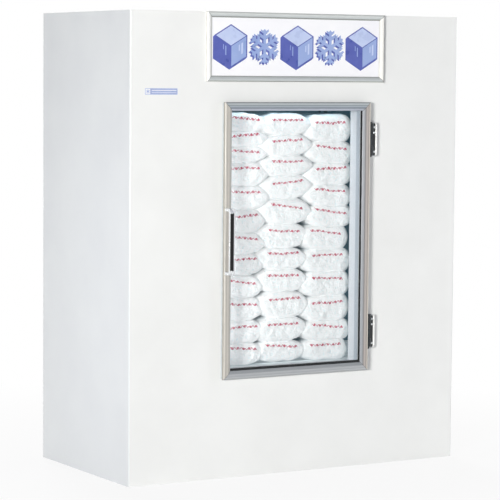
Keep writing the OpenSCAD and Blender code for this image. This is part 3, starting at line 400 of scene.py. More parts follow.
# Cast acrylic is white right through, with a soft gloss.
sign_face = finish_of("white acrylic sheet", "#FBFAFE", "#FEFDFF", 200, 0.4)
dress(sign_face, "sign_panel")
sign_low, sign_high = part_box("sign_panel")
sign_y = sign_low.y / MM
sign_x = (sign_low.x + sign_high.x) / 2 / MM
sign_z = (sign_low.z + sign_high.z) / 2 / MM
block_r = 88
crystal_r = 74
arm_wide = 13
motif_step = 165
motif_shift = 3
shade_over, face_share = 1.04, 0.95
block_drop, crystal_drop = np.array([-8, -8]), np.array([-7, -6])
shade, blue, pale = [], [], []
for number in range(-2, 3):
    x, z = sign_x + number * motif_step + motif_shift, sign_z + motif_shift
    if number % 2:
        blue.append(crystal(x, z, crystal_r, arm_wide))
        shade.append(crystal(x, z, crystal_r, arm_wide) + crystal_drop)
        continue
    # A block is a cube seen on its corner. The shade lies under all of it and out to the lower
    # left, and its left face is bare shade. The top is pale and the right face blue, both a
    # little small, so that the shade shows between them as thin lines.
    middle = np.array([x, z])
    a = np.radians(np.arange(30, 390, 60))
    corner = middle + block_r * np.stack([np.cos(a), np.sin(a)], -1)
    edge = middle + (corner - middle) * shade_over
    shade.append(np.array([edge[0], edge[1], edge[2], edge[2] + block_drop, edge[3] + block_drop,
                           edge[4] + block_drop, edge[5] + block_drop, edge[5]]))
    for group, three in ((pale, (0, 1, 2)), (blue, (4, 5, 0))):
        side = np.array([middle, corner[three[0]], corner[three[1]], corner[three[2]]])
        group.append(side.mean(0) + (side - side.mean(0)) * face_share)
    # Two pale glints lie on the right face and two blue ones on the left. A glint is given by
    # where it starts and ends along two edges of the cube, as shares of them.
    down = corner[4] - middle
    for group, u, glints in (
            (pale, corner[0] - middle, ((0.66, 0.76, 0.2, 0.72), (0.5, 0.56, 0.2, 0.5))),
            (blue, corner[2] - middle, ((0.3, 0.36, 0.16, 0.6), (0.46, 0.5, 0.16, 0.4)))):
        for a0, a1, b0, b1 in glints:
            group.append(np.array([
                middle + p * u + q * down for p, q in ((a0, b0), (a1, b0), (a1, b1), (a0, b1))]))

# Screen inks lie flat on the sheet, even in colour and a little glossy, each on the last.
shade_ink = finish_of("screen printed indigo ink", "#505BAA", "#5C67B6", 60, 0.3)
blue_ink = finish_of("screen printed pale blue ink", "#93A8DA", "#A1B3E0", 110, 0.3)
pale_ink = finish_of("screen printed ice blue ink", "#BECBEE", "#CCD7F4", 60, 0.3)
for name, shapes, ink, out in (
        ("sign_print_shade", shade, shade_ink, 0.15), ("sign_print_blue", blue, blue_ink, 0.3),
        ("sign_print_pale", pale, pale_ink, 0.45)):
    add_piece(name, *flat_shapes(shapes, sign_y, out), ink, "cabinet", "sign_face")

# ---- Strip round the doorway ----
# Extruded white vinyl, pushed over the edges of the sheets. Its front third is greyer than the rest.
# Vinyl is smooth and half matt.
jamb_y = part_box("door_jamb")[0].y / MM
jamb_deep = 72
jamb = banded("extruded vinyl of the doorway", "Y", jamb_y, jamb_y + jamb_deep, [
    (0, "#9DA4AE"), (22, "#A3AAB4"), (26, "#C6C9CF"), (jamb_deep, "#CCCED4")], 0.4, 0)
dress(jamb, "door_jamb")

# ---- Door frame ----
# Four mitred bars of extruded aluminium, satin anodised, screwed together at the corners. Lips and
# grooves run along each bar. Their bands are painted light and shade: painted highlights on the lips,
# painted shade in the grooves, and each bar painted lighter or darker, warmer or cooler, for how the
# light falls on it.
lips_wide = 40
door_low, door_high = door_corners = corners_mm((
    np.minimum(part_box("door_bottom_rail")[0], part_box("door_latch_stile")[0]),
    np.maximum(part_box("door_top_rail")[1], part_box("door_hinge_stile")[1])))


def door_bar(name, axis, edge, inward, bands):
    """One bar's finish, with painted light and shade in its bands. Its lips and grooves lie in a width
    of lips_wide from its outer edge.
    """
    return banded("anodised aluminium, " + name, axis, edge, edge + inward * lips_wide, bands, 0.42,
                  0.4, door_corners)


dress(door_bar("top rail", "Z", door_high[2], -1, [
    (0, "#7F8487"), (3.5, "#8A9093"), (5.5, "#BCC2C4"), (10, "#B9BFC1"), (12, "#8F9699"),
    (14.5, "#929A9E"), (17, "#A6AEB5"), (21, "#A2AAB2"), (23, "#7F868F"), (26, "#858C95"),
    (29, "#B4BAC6"), (lips_wide, "#B8BECA")]), "door_top_rail")
dress(door_bar("bottom rail", "Z", door_low[2], 1, [
    (0, "#8E9092"), (2.5, "#AAACAE"), (5, "#B9BBBC"), (10, "#B3B5B7"), (12, "#9FA2A5"),
    (14.5, "#ABADB0"), (22, "#B5B7B9"), (24, "#999C9F"), (28, "#A9ACAF"), (35, "#A9ACAF"),
    (37, "#5A5D60"), (lips_wide, "#505356")]), "door_bottom_rail")
dress(door_bar("latch stile", "X", door_low[0], 1, [
    (0, "#A8A49C"), (3, "#D3CFC7"), (7, "#CBC6BE"), (9, "#A9A49C"), (12, "#BFBAB2"),
    (21, "#C6C1B9"), (23, "#A5A29C"), (26, "#B9B6B0"), (30, "#C9C6C1"),
    (lips_wide, "#CFCCC8")]), "door_latch_stile")
dress(door_bar("hinge stile", "X", door_high[0], -1, [
    (0, "#D2CBC2"), (5, "#CEC7BE"), (7, "#9D9790"), (9.5, "#99938C"), (12, "#B2A9A4"),
    (20, "#B6AEA8"), (22, "#8D8A88"), (25, "#807F80"), (28, "#888A8E"),
    (lips_wide, "#8E9094")]), "door_hinge_stile")

# ---- Glass ----
# Three float glass panes with black spacers between them, held from behind by a white bead.
# Clean glass shows only a weak reflection over what lies behind it, and light goes through.
glass = blank("clear float glass")
tree = glass.node_tree
through = node(tree, "ShaderNodeBsdfTransparent", {"Color": linear("#FEFFFF")})
sheen = node(tree, "ShaderNodeBsdfPrincipled", {
    "Base Color": linear("#FFFFFF"), "Roughness": 0.02, "Metallic": 1.0})
# The reflection is nearly nothing straight on. It rises with the fourth power of the slant, to
# half of the light where a pane is seen edge on.
facing = node(tree, "ShaderNodeLayerWeight", {"Blend": 0.5})
steep = node(tree, "ShaderNodeMath", {0: facing.outputs["Facing"], 1: 4.0}, operation="POWER")
edge_on = node(tree, "ShaderNodeMapRange", {"Value": steep.outputs[0], "To Min": 0.004, "To Max": 0.5})
mixed = node(tree, "ShaderNodeMixShader", {
    0: edge_on.outputs[0], 1: through.outputs[0], 2: sheen.outputs[0]})
node(tree, "ShaderNodeOutputMaterial", {"Surface": mixed.outputs[0]})
dress(glass, "glass_panes")
nodes["glass_panes"].visible_shadow = False
nodes["glass_panes"].visible_diffuse = False

# Black anodising swallows the light, so the spacers show as one dark line inside the frame.
spacer = finish_of("black anodised spacer bar", "#07090B", "#0C0F11", 20, 0.7)
dress(spacer, "glass_spacers")
bead = finish_of("white vinyl glazing bead", "#C9CDD2", "#D6DADF", 60, 0.45)
dress(bead, "glazing_bead")

# ---- Gasket ----
# A soft vinyl bellows with a magnetic strip in its sealing face, pressed into the back of the
# door frame and welded at the corners. It makes a grey band between the door and the cabinet.
gasket_low, gasket_high = corners_mm(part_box("door_gasket"))
gasket_wide, skin_in, pleat_deep = 23.0, 0.4, 2.6
pleats_from, pleats_long = 2.5, 7.5

# The profile is carried round the four corners. Its half width is that of the gasket, less
# skin_in, less pleat_deep times the squared sine of a full turn, which makes two pleats.
depth = np.linspace(0.2, gasket_high[1] - gasket_low[1] - 0.1, 28)
pleat = np.clip((depth - pleats_from) / pleats_long, 0, 1)
half = gasket_wide / 2 - skin_in - pleat_deep * np.sin(2 * np.pi * pleat) ** 2
inset = np.concatenate([gasket_wide / 2 - half, (gasket_wide / 2 + half)[::-1]])
behind = gasket_low[1] + np.concatenate([depth, depth[::-1]])
sides = np.array([[-1, -1], [1, -1], [1, 1], [-1, 1]])
middle = (gasket_low + gasket_high) / 2
reach = (gasket_high - gasket_low) / 2
ring = np.stack([
    middle[0] + sides[:, :1] * (reach[0] - inset), np.tile(behind, (4, 1)),
    middle[2] + sides[:, 1:] * (reach[2] - inset)], -1)
i, j = np.meshgrid(np.arange(4), np.arange(len(inset)), indexing="ij")
k, m = (i + 1) % 4, (j + 1) % len(inset)
quads = np.stack([i, i, k, k], -1) * len(inset) + np.stack([j, m, m, j], -1)

# Soft vinyl is dull and grey, with a faint grain.
vinyl = finish_of("grey magnetic vinyl", "#B4B9BD", "#C3C8CB", 30, 0.5, bump=0.03, bump_mm=2)
gasket = add_piece("gasket_bellows", ring.reshape(-1, 3), quads.reshape(-1, 4).tolist(), vinyl,
                   "door", "gasket")
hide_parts("door_gasket")

# ---- Handle ----
# A pull of bright anodised aluminium with a strip of black plastic let into its face, fixed to
# the door's latch stile. A bright rim stands along its right side.
pull_low, pull_high = corners_mm(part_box("door_handle"))
inlay_low, inlay_high = corners_mm(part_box("handle_inlay"))
pull_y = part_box("door_handle")[0].y / MM
lip, rim, rim_thick = 2.0, 8.5, 3.2

# Bright dipping before the anodising gives a clear, nearly white shine.
bright = finish_of("bright anodised aluminium of the pull", "#DDDFE2", "#E8EAEC", 25, 0.24, metal=0.6)
dress(bright, "door_handle")
add_piece("handle_rim", *flat_shapes([
    rounded(pull_high[0] - 0.5, pull_low[2], pull_high[0] + rim, pull_high[2], 4)],
    pull_y + rim_thick, rim_thick), bright, "door", "chrome")

# The inlay is deep black and matt. Its lips lie over the edges of the groove that holds it.
inlay_black = finish_of("black plastic of the inlay", "#020203", "#050506", 12, 0.85)
dress(inlay_black, "handle_inlay")
add_piece("handle_inlay_lip", *flat_shapes([
    rounded(inlay_low[0] - lip, inlay_low[2] - lip, inlay_low[0], inlay_high[2] + lip, 0.6),
    rounded(inlay_high[0], inlay_low[2] - lip, pull_high[0] + 1.5, inlay_high[2] + lip, 0.6)],
    pull_y + 0.1, 0.6), inlay_black, "door", "black_plastic")

# ---- Hinges ----
# Chrome plated castings. Each has a black insert in its recess and three round-headed screws
# that hold it to the cabinet.
hinge_axis = 350.5
recess_x, recess_y = hinge_axis + 21.5, -433.5
hinge_zs = (596, 1440)
leaf_x0, leaf_x1 = hinge_axis - 9.5, hinge_axis + 35.5
insert_x0, insert_x1, insert_up, insert_r = recess_x - 9.6, recess_x + 5.4, 71, 7.4
screws_up, head_r, head_high = (54, 30, -54), 5.6, 2.6

# Plating mirrors the pale room. Round the knuckle the leaf, the pins and the door's hinges are painted
# nearly black, as painted shade, and the leaf brightens to a painted highlight on its rim.
chrome = finish_of("chrome plated die casting", "#C4C7C8", "#D4D6D6", 30, 0.25, metal=0.7)
dress(banded("chrome plated leaf, dull round its knuckle", "X", leaf_x0, leaf_x1, [
    (0, "#16191B"), (19, "#1E2224"), (21.5, "#5E6466"), (24, "#8F9496"), (34, "#C9CBCB"),
    (36.5, "#F2F2F0"), (45, "#F4F4F2")], 0.3, 0.3), "cabinet_hinges")
shaded_chrome = finish_of("chrome of the knuckles, darkened as painted shade", "#23282A", "#343A3C", 12, 0.3, metal=0.6)
dress(shaded_chrome, "hinge_pins", "door_hinges")


def closed_skin(grid):
    """A closed skin from rows of points that each run once round: quads between the rows, and
    a fan over the middle of each end."""
    rows, cols = grid.shape[:2]
    i, j = np.meshgrid(np.arange(rows - 1), np.arange(cols), indexing="ij")
    k = (j + 1) % cols
    quads = np.stack([i * cols + j, i * cols + k, (i + 1) * cols + k, (i + 1) * cols + j], -1)
    j = np.arange(cols)
    k = (j + 1) % cols
    first = np.stack([k, j, np.full(cols, rows * cols)], -1)
    last = np.stack([(rows - 1) * cols + j, (rows - 1) * cols + k, np.full(cols, rows * cols + 1)], -1)
    points = np.concatenate([grid.reshape(-1, 3), grid[:1].mean(1), grid[-1:].mean(1)])
    return points, quads.reshape(-1, 4).tolist() + first.tolist() + last.tolist()


def round_heads(places, radius, height, out=1):
    """Round screw heads on a wall, at (x, y, z) in mm. A head's radius is the cosine and its
    height the sine of an angle from 0 to 82 degrees. Its foot is sunk a little into the wall."""
    sunk = 0.4
    a = np.radians([0, 0, 25, 50, 70, 82])
    rise = np.sin(a) * height
    rise[0] = -sunk
    b = np.radians(np.arange(0, 360, 30))
    points, faces = [], []
    for x, y, z in places:
        skin, parts = closed_skin(np.stack([
            x + radius * np.cos(a)[:, None] * np.cos(b), y - out * rise[:, None] + 0 * b,
            z + radius * np.cos(a)[:, None] * np.sin(b)], -1))
        faces += [[v + len(points) * len(skin) for v in f] for f in parts]
        points.append(skin)
    return np.concatenate(points), faces


# The inserts are moulded in black plastic, which is half matt.
insert_black = finish_of("black plastic insert", "#08090A", "#101214", 10, 0.4, bump=0.03, bump_mm=2)
add_piece("hinge_inserts", *flat_shapes([
    rounded(insert_x0, z - insert_up, insert_x1, z + insert_up, insert_r) for z in hinge_zs],
    recess_y, 1), insert_black, "cabinet", "black_plastic")
add_piece("hinge_screws", *round_heads([
    (recess_x, recess_y - 1, z + up) for z in hinge_zs for up in screws_up], head_r, head_high),
    chrome, "cabinet", "chrome", smooth=True)

# ---- Bags of ice ----
# Clear film bags full of ice cubes, laid on top of each other in three columns. Each settles
# into a lens between its neighbours, with its film drawn over the lumps. A row of red stars on
# a wavy line is printed across each end.

# Each column has its middle, its width and the heights where a bag ends and the next begins.
COLUMNS = [
    ((-204.0, 256), [469, 560, 659, 757, 856, 951, 1039, 1139, 1241, 1343, 1410, 1474, 1548]),
    ((5.5, 284), [473, 558, 664, 774, 876, 967, 1072, 1180, 1281, 1367, 1457, 1546]),
    ((228.0, 262), [468, 552, 640, 748, 855, 956, 1057, 1145, 1238, 1332, 1428, 1541]),
]
# How far a column's middle lies to the side and how much wider it is, below and above half way.
LEAN = [((-12, -2), (-4, 14)), ((-25, 20), (-8, 22)), ((-24, 24), (-13, 6))]
HALF_WAY = 1050
# The power of a bag's section on its left and on its right. A high one makes a blunt end.
LENS = [(3.1, 3.1), (3.1, 3.1), (3.1, 9.0)]
# The powers of the same section upwards, and of a bag's length.
RIDGE = 1.25
SWELL, BLUNT = 8.0, 0.13
# Each bag is this much taller than its row, since it is pressed into its neighbours.
PRESSED = 15
BAG_FRONT, BAG_DEEP = -326, 438
# How far the print lies to the side of the middle, in each column.
PRINT_SHIFT = (-14, 0, 2)
chance = np.random.default_rng(11)


def lumps(x, y, z, seed):
    """Relief of the film over the ice, in mm: sines in random directions, with wavelengths from
    26 to 90 mm, added up."""
    rng = np.random.default_rng(seed)
    total = 0
    for size, tall in ((90, 2.2), (55, 1.7), (38, 1.1), (26, 0.6)):
        for _ in range(3):
            k = rng.normal(0, 1, 3)
            k *= 2 * np.pi / size / np.linalg.norm(k)
            total = total + tall * 0.55 * np.sin(k[0] * x + k[1] * y + k[2] * z + rng.uniform(0, 6.3))
    return total


def on_bag(x, z, back, bag):
    """Moves points of a smooth bag to their place: lumps push them out from its middle line and
    towards the viewer, and the whole bag is tipped a little."""
    swell = lumps(x, back, z, bag["seed"])
    away = np.maximum(np.hypot(x, z), 25)
    x, z = x + 0.35 * swell * x / away, z + swell * z / away
    return np.stack([bag["x"] + x, BAG_FRONT + bag["in"] + back + 0.4 * swell,
                     bag["z"] + z + x * bag["tip"]], -1)


def filled_bag(bag):
    """The film of one bag. Its section is a lens: x to a power plus z to the power RIDGE is 1,
    in half widths. Each section has a size from 0 to 1, its share. Its depth from the middle of
    the bag is 1 minus share to the power SWELL, all to the power BLUNT, in half depths. Along
    the belly the share is 1 minus the depth to the power 5, all to the power 1 / SWELL."""
    share = np.sin(np.linspace(0.02, 1.36, 32))
    near = -(1 - share ** SWELL) ** BLUNT
    far = -near[::-4]
    belly = np.linspace(near[-1], far[0], 9)[1:-1]
    along = np.concatenate([near, belly, far])
    size = np.concatenate([share, np.clip(1 - np.abs(belly) ** 5, 0, 1) ** (1 / SWELL), share[::-4]])
    s = np.linspace(0, 2 * np.pi, 108, endpoint=False)
    lens_x = np.sign(np.cos(s)) * np.abs(np.cos(s)) ** (2 / np.where(np.cos(s) < 0, *bag["lens"]))
    lens_z = np.sign(np.sin(s)) * np.abs(np.sin(s)) ** (2 / RIDGE)
    x = size[:, None] * lens_x * bag["wide"] / 2
    z = size[:, None] * lens_z * bag["tall"] / 2
    back = (1 + along[:, None]) * BAG_DEEP / 2 + 0 * s
    return closed_skin(on_bag(x, z, back, bag))


def drawn_on_bag(paths, wide, bag):
    """Ribbons of ink on the bag's end. A ribbon follows a path of (x, z) points, and each of
    its points is put on the film: the share of the section through it is found by halving, and
    its depth follows from the share."""
    points, faces, start = [], [], 0
    for path in paths:
        step = np.gradient(path, axis=0)
        side = np.stack([-step[:, 1], step[:, 0]], -1)
        side *= wide / 2 / np.linalg.norm(side, axis=1, keepdims=True)
        edges = np.stack([path + side, path - side], 1)
        p = np.abs(edges[..., 0]) / (bag["wide"] / 2)
        power = np.where(edges[..., 0] < 0, *bag["lens"])
        q = np.abs(edges[..., 1]) / (bag["tall"] / 2)
        low, high = np.full(p.shape, 1e-3), np.full(p.shape, 0.995)
        for _ in range(24):
            share = (low + high) / 2
            outside = (p / share) ** power + (q / share) ** RIDGE > 1
            low, high = np.where(outside, share, low), np.where(outside, high, share)
        back = (1 - (1 - share ** SWELL) ** BLUNT) * BAG_DEEP / 2
        skin = on_bag(edges[..., 0], edges[..., 1], back, bag)
        n = len(path)
        lift = np.array([0, 0.9, 0])
        points.append(np.concatenate([
            (skin - lift).reshape(-1, 3), (skin + lift * 0.2).reshape(-1, 3)]))
        a = np.arange(n - 1) * 2
        loop = np.stack([
            [a, a + 1, a + 3, a + 2],
            [a + 2 * n, a + 2 + 2 * n, a + 3 + 2 * n, a + 1 + 2 * n],
            [a, a + 2, a + 2 + 2 * n, a + 2 * n], [a + 1, a + 1 + 2 * n, a + 3 + 2 * n, a + 3]], 0)
        faces += (start + loop.transpose(0, 2, 1).reshape(-1, 4)).tolist()
        faces += [[start, start + 2 * n, start + 2 * n + 1, start + 1],
                  [start + 2 * n - 2, start + 2 * n - 1, start + 4 * n - 1, start + 4 * n - 2]]
        start += 4 * n
    return np.concatenate(points), faces


def film_over_ice():
    """Clear film drawn tight over packed ice cubes: white, with the cubes 26 mm wide as soft relief and
    creases of 9 mm. Its colour darkens a little in the creases' hollows, and deep between the bags it
    turns grey-green: both are painted shade. A faint glow in its own colour, painted light with no lamp
    behind it, keeps its creases pale."""
    cube_wide, crease_wide = 0.026, 0.009
    painted_shade_from, painted_shade_to = -0.298, -0.23
    material = blank("clear film over ice cubes, with painted shade and glow")
    tree = material.node_tree
    place = node(tree, "ShaderNodeTexCoord")
    cubes = node(tree, "ShaderNodeTexVoronoi", {
        "Vector": place.outputs["Object"], "Scale": 1 / cube_wide}, feature="SMOOTH_F1")
    crease = node(tree, "ShaderNodeTexNoise", {
        "Vector": place.outputs["Object"], "Scale": 1 / crease_wide, "Detail": 4.0,
        "Distortion": 1.4})
    tint = node(tree, "ShaderNodeValToRGB", {"Fac": crease.outputs["Fac"]})
    tint.color_ramp.elements[0].position = 0.3
    tint.color_ramp.elements[0].color = linear("#E4E6EA")
    tint.color_ramp.elements[1].position = 0.5
    tint.color_ramp.elements[1].color = linear("#FCFAFA")
    split = node(tree, "ShaderNodeSeparateXYZ", {"Vector": place.outputs["Object"]})
    # Painted shade: behind the bags' fronts, deeper in the cabinet, the colour turns grey-green.
    deep = node(tree, "ShaderNodeMapRange", {
        "Value": split.outputs["Y"], "From Min": painted_shade_from, "From Max": painted_shade_to,
        "To Min": 0.0, "To Max": 1.0})
    shade = node(tree, "ShaderNodeMix", {
        "Factor": deep.outputs[0], 6: tint.outputs[0], 7: linear("#6F838D")}, data_type="RGBA")
    both = node(tree, "ShaderNodeMath", {
        0: cubes.outputs["Distance"], 1: crease.outputs["Fac"]}, operation="ADD")
    relief = node(tree, "ShaderNodeBump", {
        "Height": both.outputs[0], "Distance": 0.008, "Strength": 0.9})
    # The emission in the film's own colour is a painted glow; no lamp is in the bags.
    skin = node(tree, "ShaderNodeBsdfPrincipled", {
        "Base Color": shade.outputs[2], "Roughness": 0.32, "Coat Weight": 0.25,
        "Coat Roughness": 0.15, "Emission Color": shade.outputs[2], "Emission Strength": 0.135,
        "Normal": relief.outputs[0]})
    node(tree, "ShaderNodeOutputMaterial", {"Surface": skin.outputs[0]})
    return material


film = film_over_ice()

# Ink on film is even in colour and half matt.
red_ink = finish_of("red ink on film", "#BE4460", "#CC5A72", 8, 0.4)
ribbon_wide, wave_high, wave_half, star_arm = 2.0, 4.4, 8.5, 6.5
stars_on_line = np.linspace(-70, 70, 6)
wave = np.linspace(-80, 80, 121)
for column, ((middle_x, wide), bounds) in enumerate(COLUMNS):
    skins, prints = [], []
    for row, (low, high) in enumerate(zip(bounds, bounds[1:])):
        lean, spread = LEAN[column][int(low > HALF_WAY)]
        bag = {
            "x": middle_x + lean + chance.normal(0, 4), "z": (low + high) / 2,
            "wide": wide + spread + chance.normal(0, 5), "tall": high - low + PRESSED,
            "in": chance.uniform(0, 8), "tip": chance.normal(0, 0.025),
            "lens": LENS[column], "seed": 100 * column + row}
        skins.append(filled_bag(bag))
        tilt = chance.normal(-0.02, 0.06)
        up = bag["tall"] * 0.2 + chance.uniform(-2, 3)
        bend = chance.uniform(-1, 1) * 4e-4
        line = up + wave * tilt + bend * wave ** 2 + wave_high * np.sin(wave * np.pi / wave_half)
        paths = [np.stack([wave, line], -1)]
        for x in stars_on_line + chance.normal(0, 2):
            for k in range(3):
                a = math.radians(60 * k + 20)
                along = np.linspace(-star_arm, star_arm, 7)[:, None]
                arm = along * np.array([math.cos(a), math.sin(a)])
                paths.append(arm + np.array([x, up + x * tilt + bend * x * x]))
        paths = [path + [PRINT_SHIFT[column], 0] for path in paths]
        prints.append(drawn_on_bag(paths, ribbon_wide, bag))
    for name, parts, material, smooth in (
            ("ice_bags_column_%d" % (column + 1), skins, film, True),
            ("ice_bags_print_%d" % (column + 1), prints, red_ink, False)):
        starts = np.cumsum([0] + [len(p) for p, _ in parts])
        faces = [
            [v + int(start) for v in f] for (_, part), start in zip(parts, starts) for f in part]
        piece = add_piece(name, np.concatenate([p for p, _ in parts]), faces, material, "cabinet",
                          "bag_film", smooth)
        if smooth:
            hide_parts("ice_bags")

# ---- Cold and warm machinery ----
# The evaporator under the ceiling and the condensing unit in the base: folded aluminium sheet,
# finned coils, copper tubes, lacquered motors and moulded fans. With them go the coated floor
# rack and the light over the doorway.

# Mill aluminium is a plain grey metal. Fins are too thin to tell apart, so a coil is painted darker, as
# painted shade for the gaps between them.
aluminium_sheet = finish_of("folded aluminium sheet", "#A9AEB1", "#BFC3C5", 22, 0.36, metal=1.0)
dress(aluminium_sheet, "evaporator_housing", "drip_pan")
fins = finish_of("aluminium fins, darkened as painted shade", "#9AA2A8", "#B4BABF", 8, 0.4, metal=1.0)
dress(fins, "evaporator_coil", "condenser_coil")

# Drawn copper is a bright red metal in the machine room. Above the deck, at this height in m,
# the lines wear a matt foam sleeve.
sleeve_from = 0.36
copper = finish_of("drawn copper tube with a foam sleeve", "#A9633C", "#C47A50", 20, 0.3)
tree = copper.node_tree
skin = skin_of(copper)
bare = skin.inputs["Base Color"].links[0].from_socket
place = node(tree, "ShaderNodeTexCoord")
split = node(tree, "ShaderNodeSeparateXYZ", {"Vector": place.outputs["Object"]})
sleeved = node(tree, "ShaderNodeMath", {
    0: split.outputs["Z"], 1: sleeve_from}, operation="GREATER_THAN")
wrap = node(tree, "ShaderNodeMix", {
    "Factor": sleeved.outputs[0], 6: bare, 7: linear("#6F8C96")}, data_type="RGBA")
metal = node(tree, "ShaderNodeMath", {0: 1.0, 1: sleeved.outputs[0]}, operation="SUBTRACT")
rough = node(tree, "ShaderNodeMapRange", {"Value": sleeved.outputs[0], "To Min": 0.3, "To Max": 0.8})
tree.links.new(wrap.outputs[2], skin.inputs["Base Color"])
tree.links.new(metal.outputs[0], skin.inputs["Metallic"])
tree.links.new(rough.outputs[0], skin.inputs["Roughness"])
dress(copper, "suction_line", "liquid_line")

# Zinc plate keeps a drawn wire bright. Lacquer is black with a shine, moulded nylon is duller,
# and rubber is matt.
wire = finish_of("zinc plated wire", "#9DA0A2", "#B5B8BA", 10, 0.3, metal=1.0)
dress(wire, "fan_guards")
lacquer = finish_of("black lacquered steel", "#17181A", "#24262A", 16, 0.35, bump=0.03, bump_mm=2)
dress(lacquer, "compressor", "condenser_shroud", "evaporator_motors", "condenser_motor")
fan_plastic = finish_of("glass filled nylon of the fans", "#22262A", "#2C3136", 14, 0.45)
dress(fan_plastic, "evaporator_fan_left", "evaporator_fan_right", "condenser_fan")
rubber = finish_of("moulded rubber", "#161616", "#202020", 10, 0.7)
dress(rubber, "compressor_feet")
grey_plastic = finish_of("grey moulded plastic", "#7C8084", "#888C90", 20, 0.5, bump=0.03, bump_mm=1.5)
dress(grey_plastic, "condensate_tray", "control_box", "drain_tube")
louvre_paint = finish_of("pale enamel of the rear grille", "#C9CCCE", "#D2D5D7", 60, 0.35)
dress(louvre_paint, "rear_grille")

# The coat on the rack and the plastic of the light are white and half matt. The rack has a faint glow in
# its own colour, painted light that stands in for the tube's light. The tube's glass has a thin gloss
# over its white phosphor.
rack_coat = finish_of("white coated rack slats", "#D9DDDF", "#E4E7E9", 40, 0.4)
add_painted_glow(rack_coat, 0.25)
dress(rack_coat, "floor_rack")
fitting = finish_of("white plastic of the light fitting", "#E4E6E6", "#ECEEEE", 40, 0.4)
dress(fitting, "light_fitting")
phosphor = finish_of("phosphor coated tube glass", "#EEF0EE", "#F6F7F4", 30, 0.25, coat=0.3)
dress(phosphor, "light_tube")

# ---- Back of the cabinet ----
# Zinc plated pan-head screws hold the back sheet to the hems of the sides and the top, and the
# grille behind its opening.
back_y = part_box("back_panel")[1].y / MM
hem_x, top_z = 810, 1966
rim_in, corner_in = 6, 20
pan_r, pan_high = 4.6, 2.2
grille_low, grille_high = corners_mm(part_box("rear_grille"))
grille_rows = np.linspace(grille_low[2] + corner_in, grille_high[2] - corner_in, 3)
heads = [(side * hem_x, z) for side in (-1, 1) for z in np.linspace(60, 1900, 9)]
heads += [(x, top_z) for x in np.linspace(-640, 640, 6)]
heads += [(x, z) for x in (grille_low[0] + rim_in, grille_high[0] - rim_in) for z in grille_rows]
heads += [(x, z) for z in (grille_low[2] + rim_in, grille_high[2] - rim_in) for x in (-320, -110, 100)]
add_piece("back_screws", *round_heads([(x, back_y, z) for x, z in heads], pan_r, pan_high, -1),
          wire, "cabinet", "wire", smooth=True)

# ---- Controls ----
# A thermostat knob and a light switch of black plastic in a grey box at the back. White marks
# are printed round the knob, from off to coldest.

# Moulded plastic is black and half matt, with a fine grain.
black = finish_of("black moulded plastic", "#17181A", "#232427", 12, 0.42, bump=0.05, bump_mm=1)
dress(black, "thermostat_knob", "light_switch")


def bar(a, b, wide):
    """A bar from a to b with pointed ends."""
    a, b = np.array(a, float), np.array(b, float)
    d = (b - a) / np.linalg.norm(b - a)
    n = np.array([-d[1], d[0]]) * wide / 2
    return np.array([a + n, a - d * wide / 2, a - n, b - n, b + d * wide / 2, b + n])


# The marks start at the off angle and go round the knob's 270 degrees.
knob_at = np.array([370.0, 306.0])
box_y = 390.5
off_at, turn, marks = 225, 270, 8
mark_in, mark_out, mark_wide = 19.5, 22, 1.1
ticks = []
for number in range(marks):
    a = math.radians(off_at - number * turn / (marks - 1))
    way = np.array([-math.cos(a), math.sin(a)])
    ticks.append(bar(knob_at + way * mark_in, knob_at + way * (mark_out + number % 2), mark_wide))
mark_ink = finish_of("white marking ink", "#E6E8E8", "#F0F2F2", 6, 0.5)
add_piece("dial_marks", *flat_shapes(ticks, box_y, -0.2), mark_ink, "cabinet", "white_plastic")

# ---- Floor and light ----
# A plain pale floor in a white surround. The key lamp is soft and stands left of the camera.
# Weaker lamps stand in front, to the right, above and behind, a narrow one beside the left
# side, and two small ones in the doorway give the light of the tube.
floor_mesh = bpy.data.meshes.new("floor")
floor_mesh.from_pydata([(-40, -40, 0), (40, -40, 0), (40, 40, 0), (-40, 40, 0)], [], [(0, 1, 2, 3)])
floor = bpy.data.objects.new("floor", floor_mesh)
bpy.context.scene.collection.objects.link(floor)
floor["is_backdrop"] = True
pale_floor = blank("pale studio floor")
tree = pale_floor.node_tree
lit = node(tree, "ShaderNodeBsdfDiffuse", {"Color": linear("#E6E6E6")})
plain = node(tree, "ShaderNodeEmission", {"Color": (1, 1, 1, 1), "Strength": 1.0})
place = node(tree, "ShaderNodeTexCoord")
# The floor goes over to plain white between these distances, in m.
fade_from, fade_to = 0.8, 2.6
far = node(tree, "ShaderNodeVectorMath", {0: place.outputs["Object"]}, operation="LENGTH")
fade = node(tree, "ShaderNodeMapRange", {
    "Value": far.outputs["Value"], "From Min": fade_from, "From Max": fade_to,
    "To Min": 0.88, "To Max": 1.0})
rays = node(tree, "ShaderNodeLightPath")
seen = node(tree, "ShaderNodeMath", {
    0: rays.outputs["Is Camera Ray"], 1: fade.outputs[0]}, operation="MULTIPLY")
mirrored = node(tree, "ShaderNodeMath", {
    0: rays.outputs["Is Glossy Ray"], 1: rays.outputs["Is Transmission Ray"]}, operation="MAXIMUM")
share = node(tree, "ShaderNodeMath", {
    0: seen.outputs[0], 1: mirrored.outputs[0]}, operation="MAXIMUM")
both = node(tree, "ShaderNodeMixShader", {
    0: share.outputs[0], 1: lit.outputs[0], 2: plain.outputs[0]})
node(tree, "ShaderNodeOutputMaterial", {"Surface": both.outputs[0]})
floor_mesh.materials.append(pale_floor)

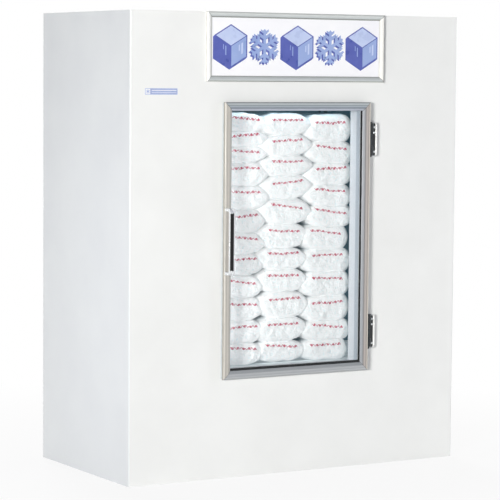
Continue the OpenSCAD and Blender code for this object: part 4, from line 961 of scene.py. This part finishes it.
world = bpy.data.worlds.new("studio")
bpy.context.scene.world = world
world.use_nodes = True
tree = world.node_tree
tree.nodes.clear()
rays = node(tree, "ShaderNodeLightPath")
soft = node(tree, "ShaderNodeBackground", {"Color": linear("#F3F6FF"), "Strength": 0.14})
white = node(tree, "ShaderNodeBackground", {"Color": (1, 1, 1, 1), "Strength": 1.0})
room = node(tree, "ShaderNodeBackground", {"Color": linear("#F6F8FF"), "Strength": 0.56})
seen = node(tree, "ShaderNodeMath", {
    0: rays.outputs["Is Camera Ray"], 1: rays.outputs["Is Transmission Ray"]}, operation="MAXIMUM")
mirrored = node(tree, "ShaderNodeMixShader", {
    0: rays.outputs["Is Glossy Ray"], 1: soft.outputs[0], 2: room.outputs[0]})
both = node(tree, "ShaderNodeMixShader", {
    0: seen.outputs[0], 1: mirrored.outputs[0], 2: white.outputs[0]})
node(tree, "ShaderNodeOutputWorld", {"Surface": both.outputs[0]})


def lamp(name, at, aim, wide, tall, power, colour="#FFFFFF", mirrored=True):
    """A rectangular soft lamp at a place, turned to face another. Without mirrored, it lights
    the glossy pieces but doesn't show in them."""
    data = bpy.data.lights.new(name, "AREA")
    data.shape = "RECTANGLE"
    data.size = wide
    data.size_y = tall
    data.energy = power
    data.color = linear(colour)[:3]
    made = bpy.data.objects.new(name, data)
    bpy.context.scene.collection.objects.link(made)
    made.visible_camera = False
    made.visible_glossy = mirrored
    at, aim = np.array(at, float), np.array(aim, float)
    z = (at - aim) / np.linalg.norm(at - aim)
    x = np.cross((0, 0, 1), z)
    x = x / np.linalg.norm(x)
    made.matrix_world = stood(x, np.cross(z, x), z, at)


def around(azimuth, elevation, distance):
    """A place round the cabinet's middle, from its angles and distance. Azimuth 0 is in front."""
    a, e = math.radians(azimuth), math.radians(elevation)
    return (distance * math.sin(a) * math.cos(e), -distance * math.cos(a) * math.cos(e),
            middle[2] + distance * math.sin(e))


middle = (0, 0, 1.0)
lamp("key", around(-50, 5, 14), middle, 2.6, 1.6, 1590, "#FFFFFD")
lamp("near", around(6, 0, 14), middle, 4, 4, 184, "#FAFCFF")
lamp("fill", around(55, 0, 7), middle, 2, 2, 64, "#F4F8FF")
lamp("side", (-2.1, -0.37, 0.85), (-0.8, -0.37, 0.85), 0.1, 2.0, 5.4, "#F0F4FF", mirrored=False)
lamp("doorway", (-0.338, -0.405, 1.01), (-0.2, -0.3, 1.01), 0.02, 1.05, 0.5, mirrored=False)
lamp("behind", around(165, 25, 12), middle, 4, 4, 800, "#FFFEFB")
lamp("above", (0, 0.4, 3.4), (0, 0.1, 2), 1.6, 0.8, 8, "#FFFEFB")
lamp("right", around(103, 12, 12), middle, 4, 4, 620, "#FFFEFB")
lamp("tube", (-0.022, -0.325, 1.612), (-0.022, -0.2, 1.45), 0.56, 0.02, 0.4, "#DDF2FF", mirrored=False)

bpy.context.scene.view_settings.view_transform = "Standard"

low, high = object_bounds()
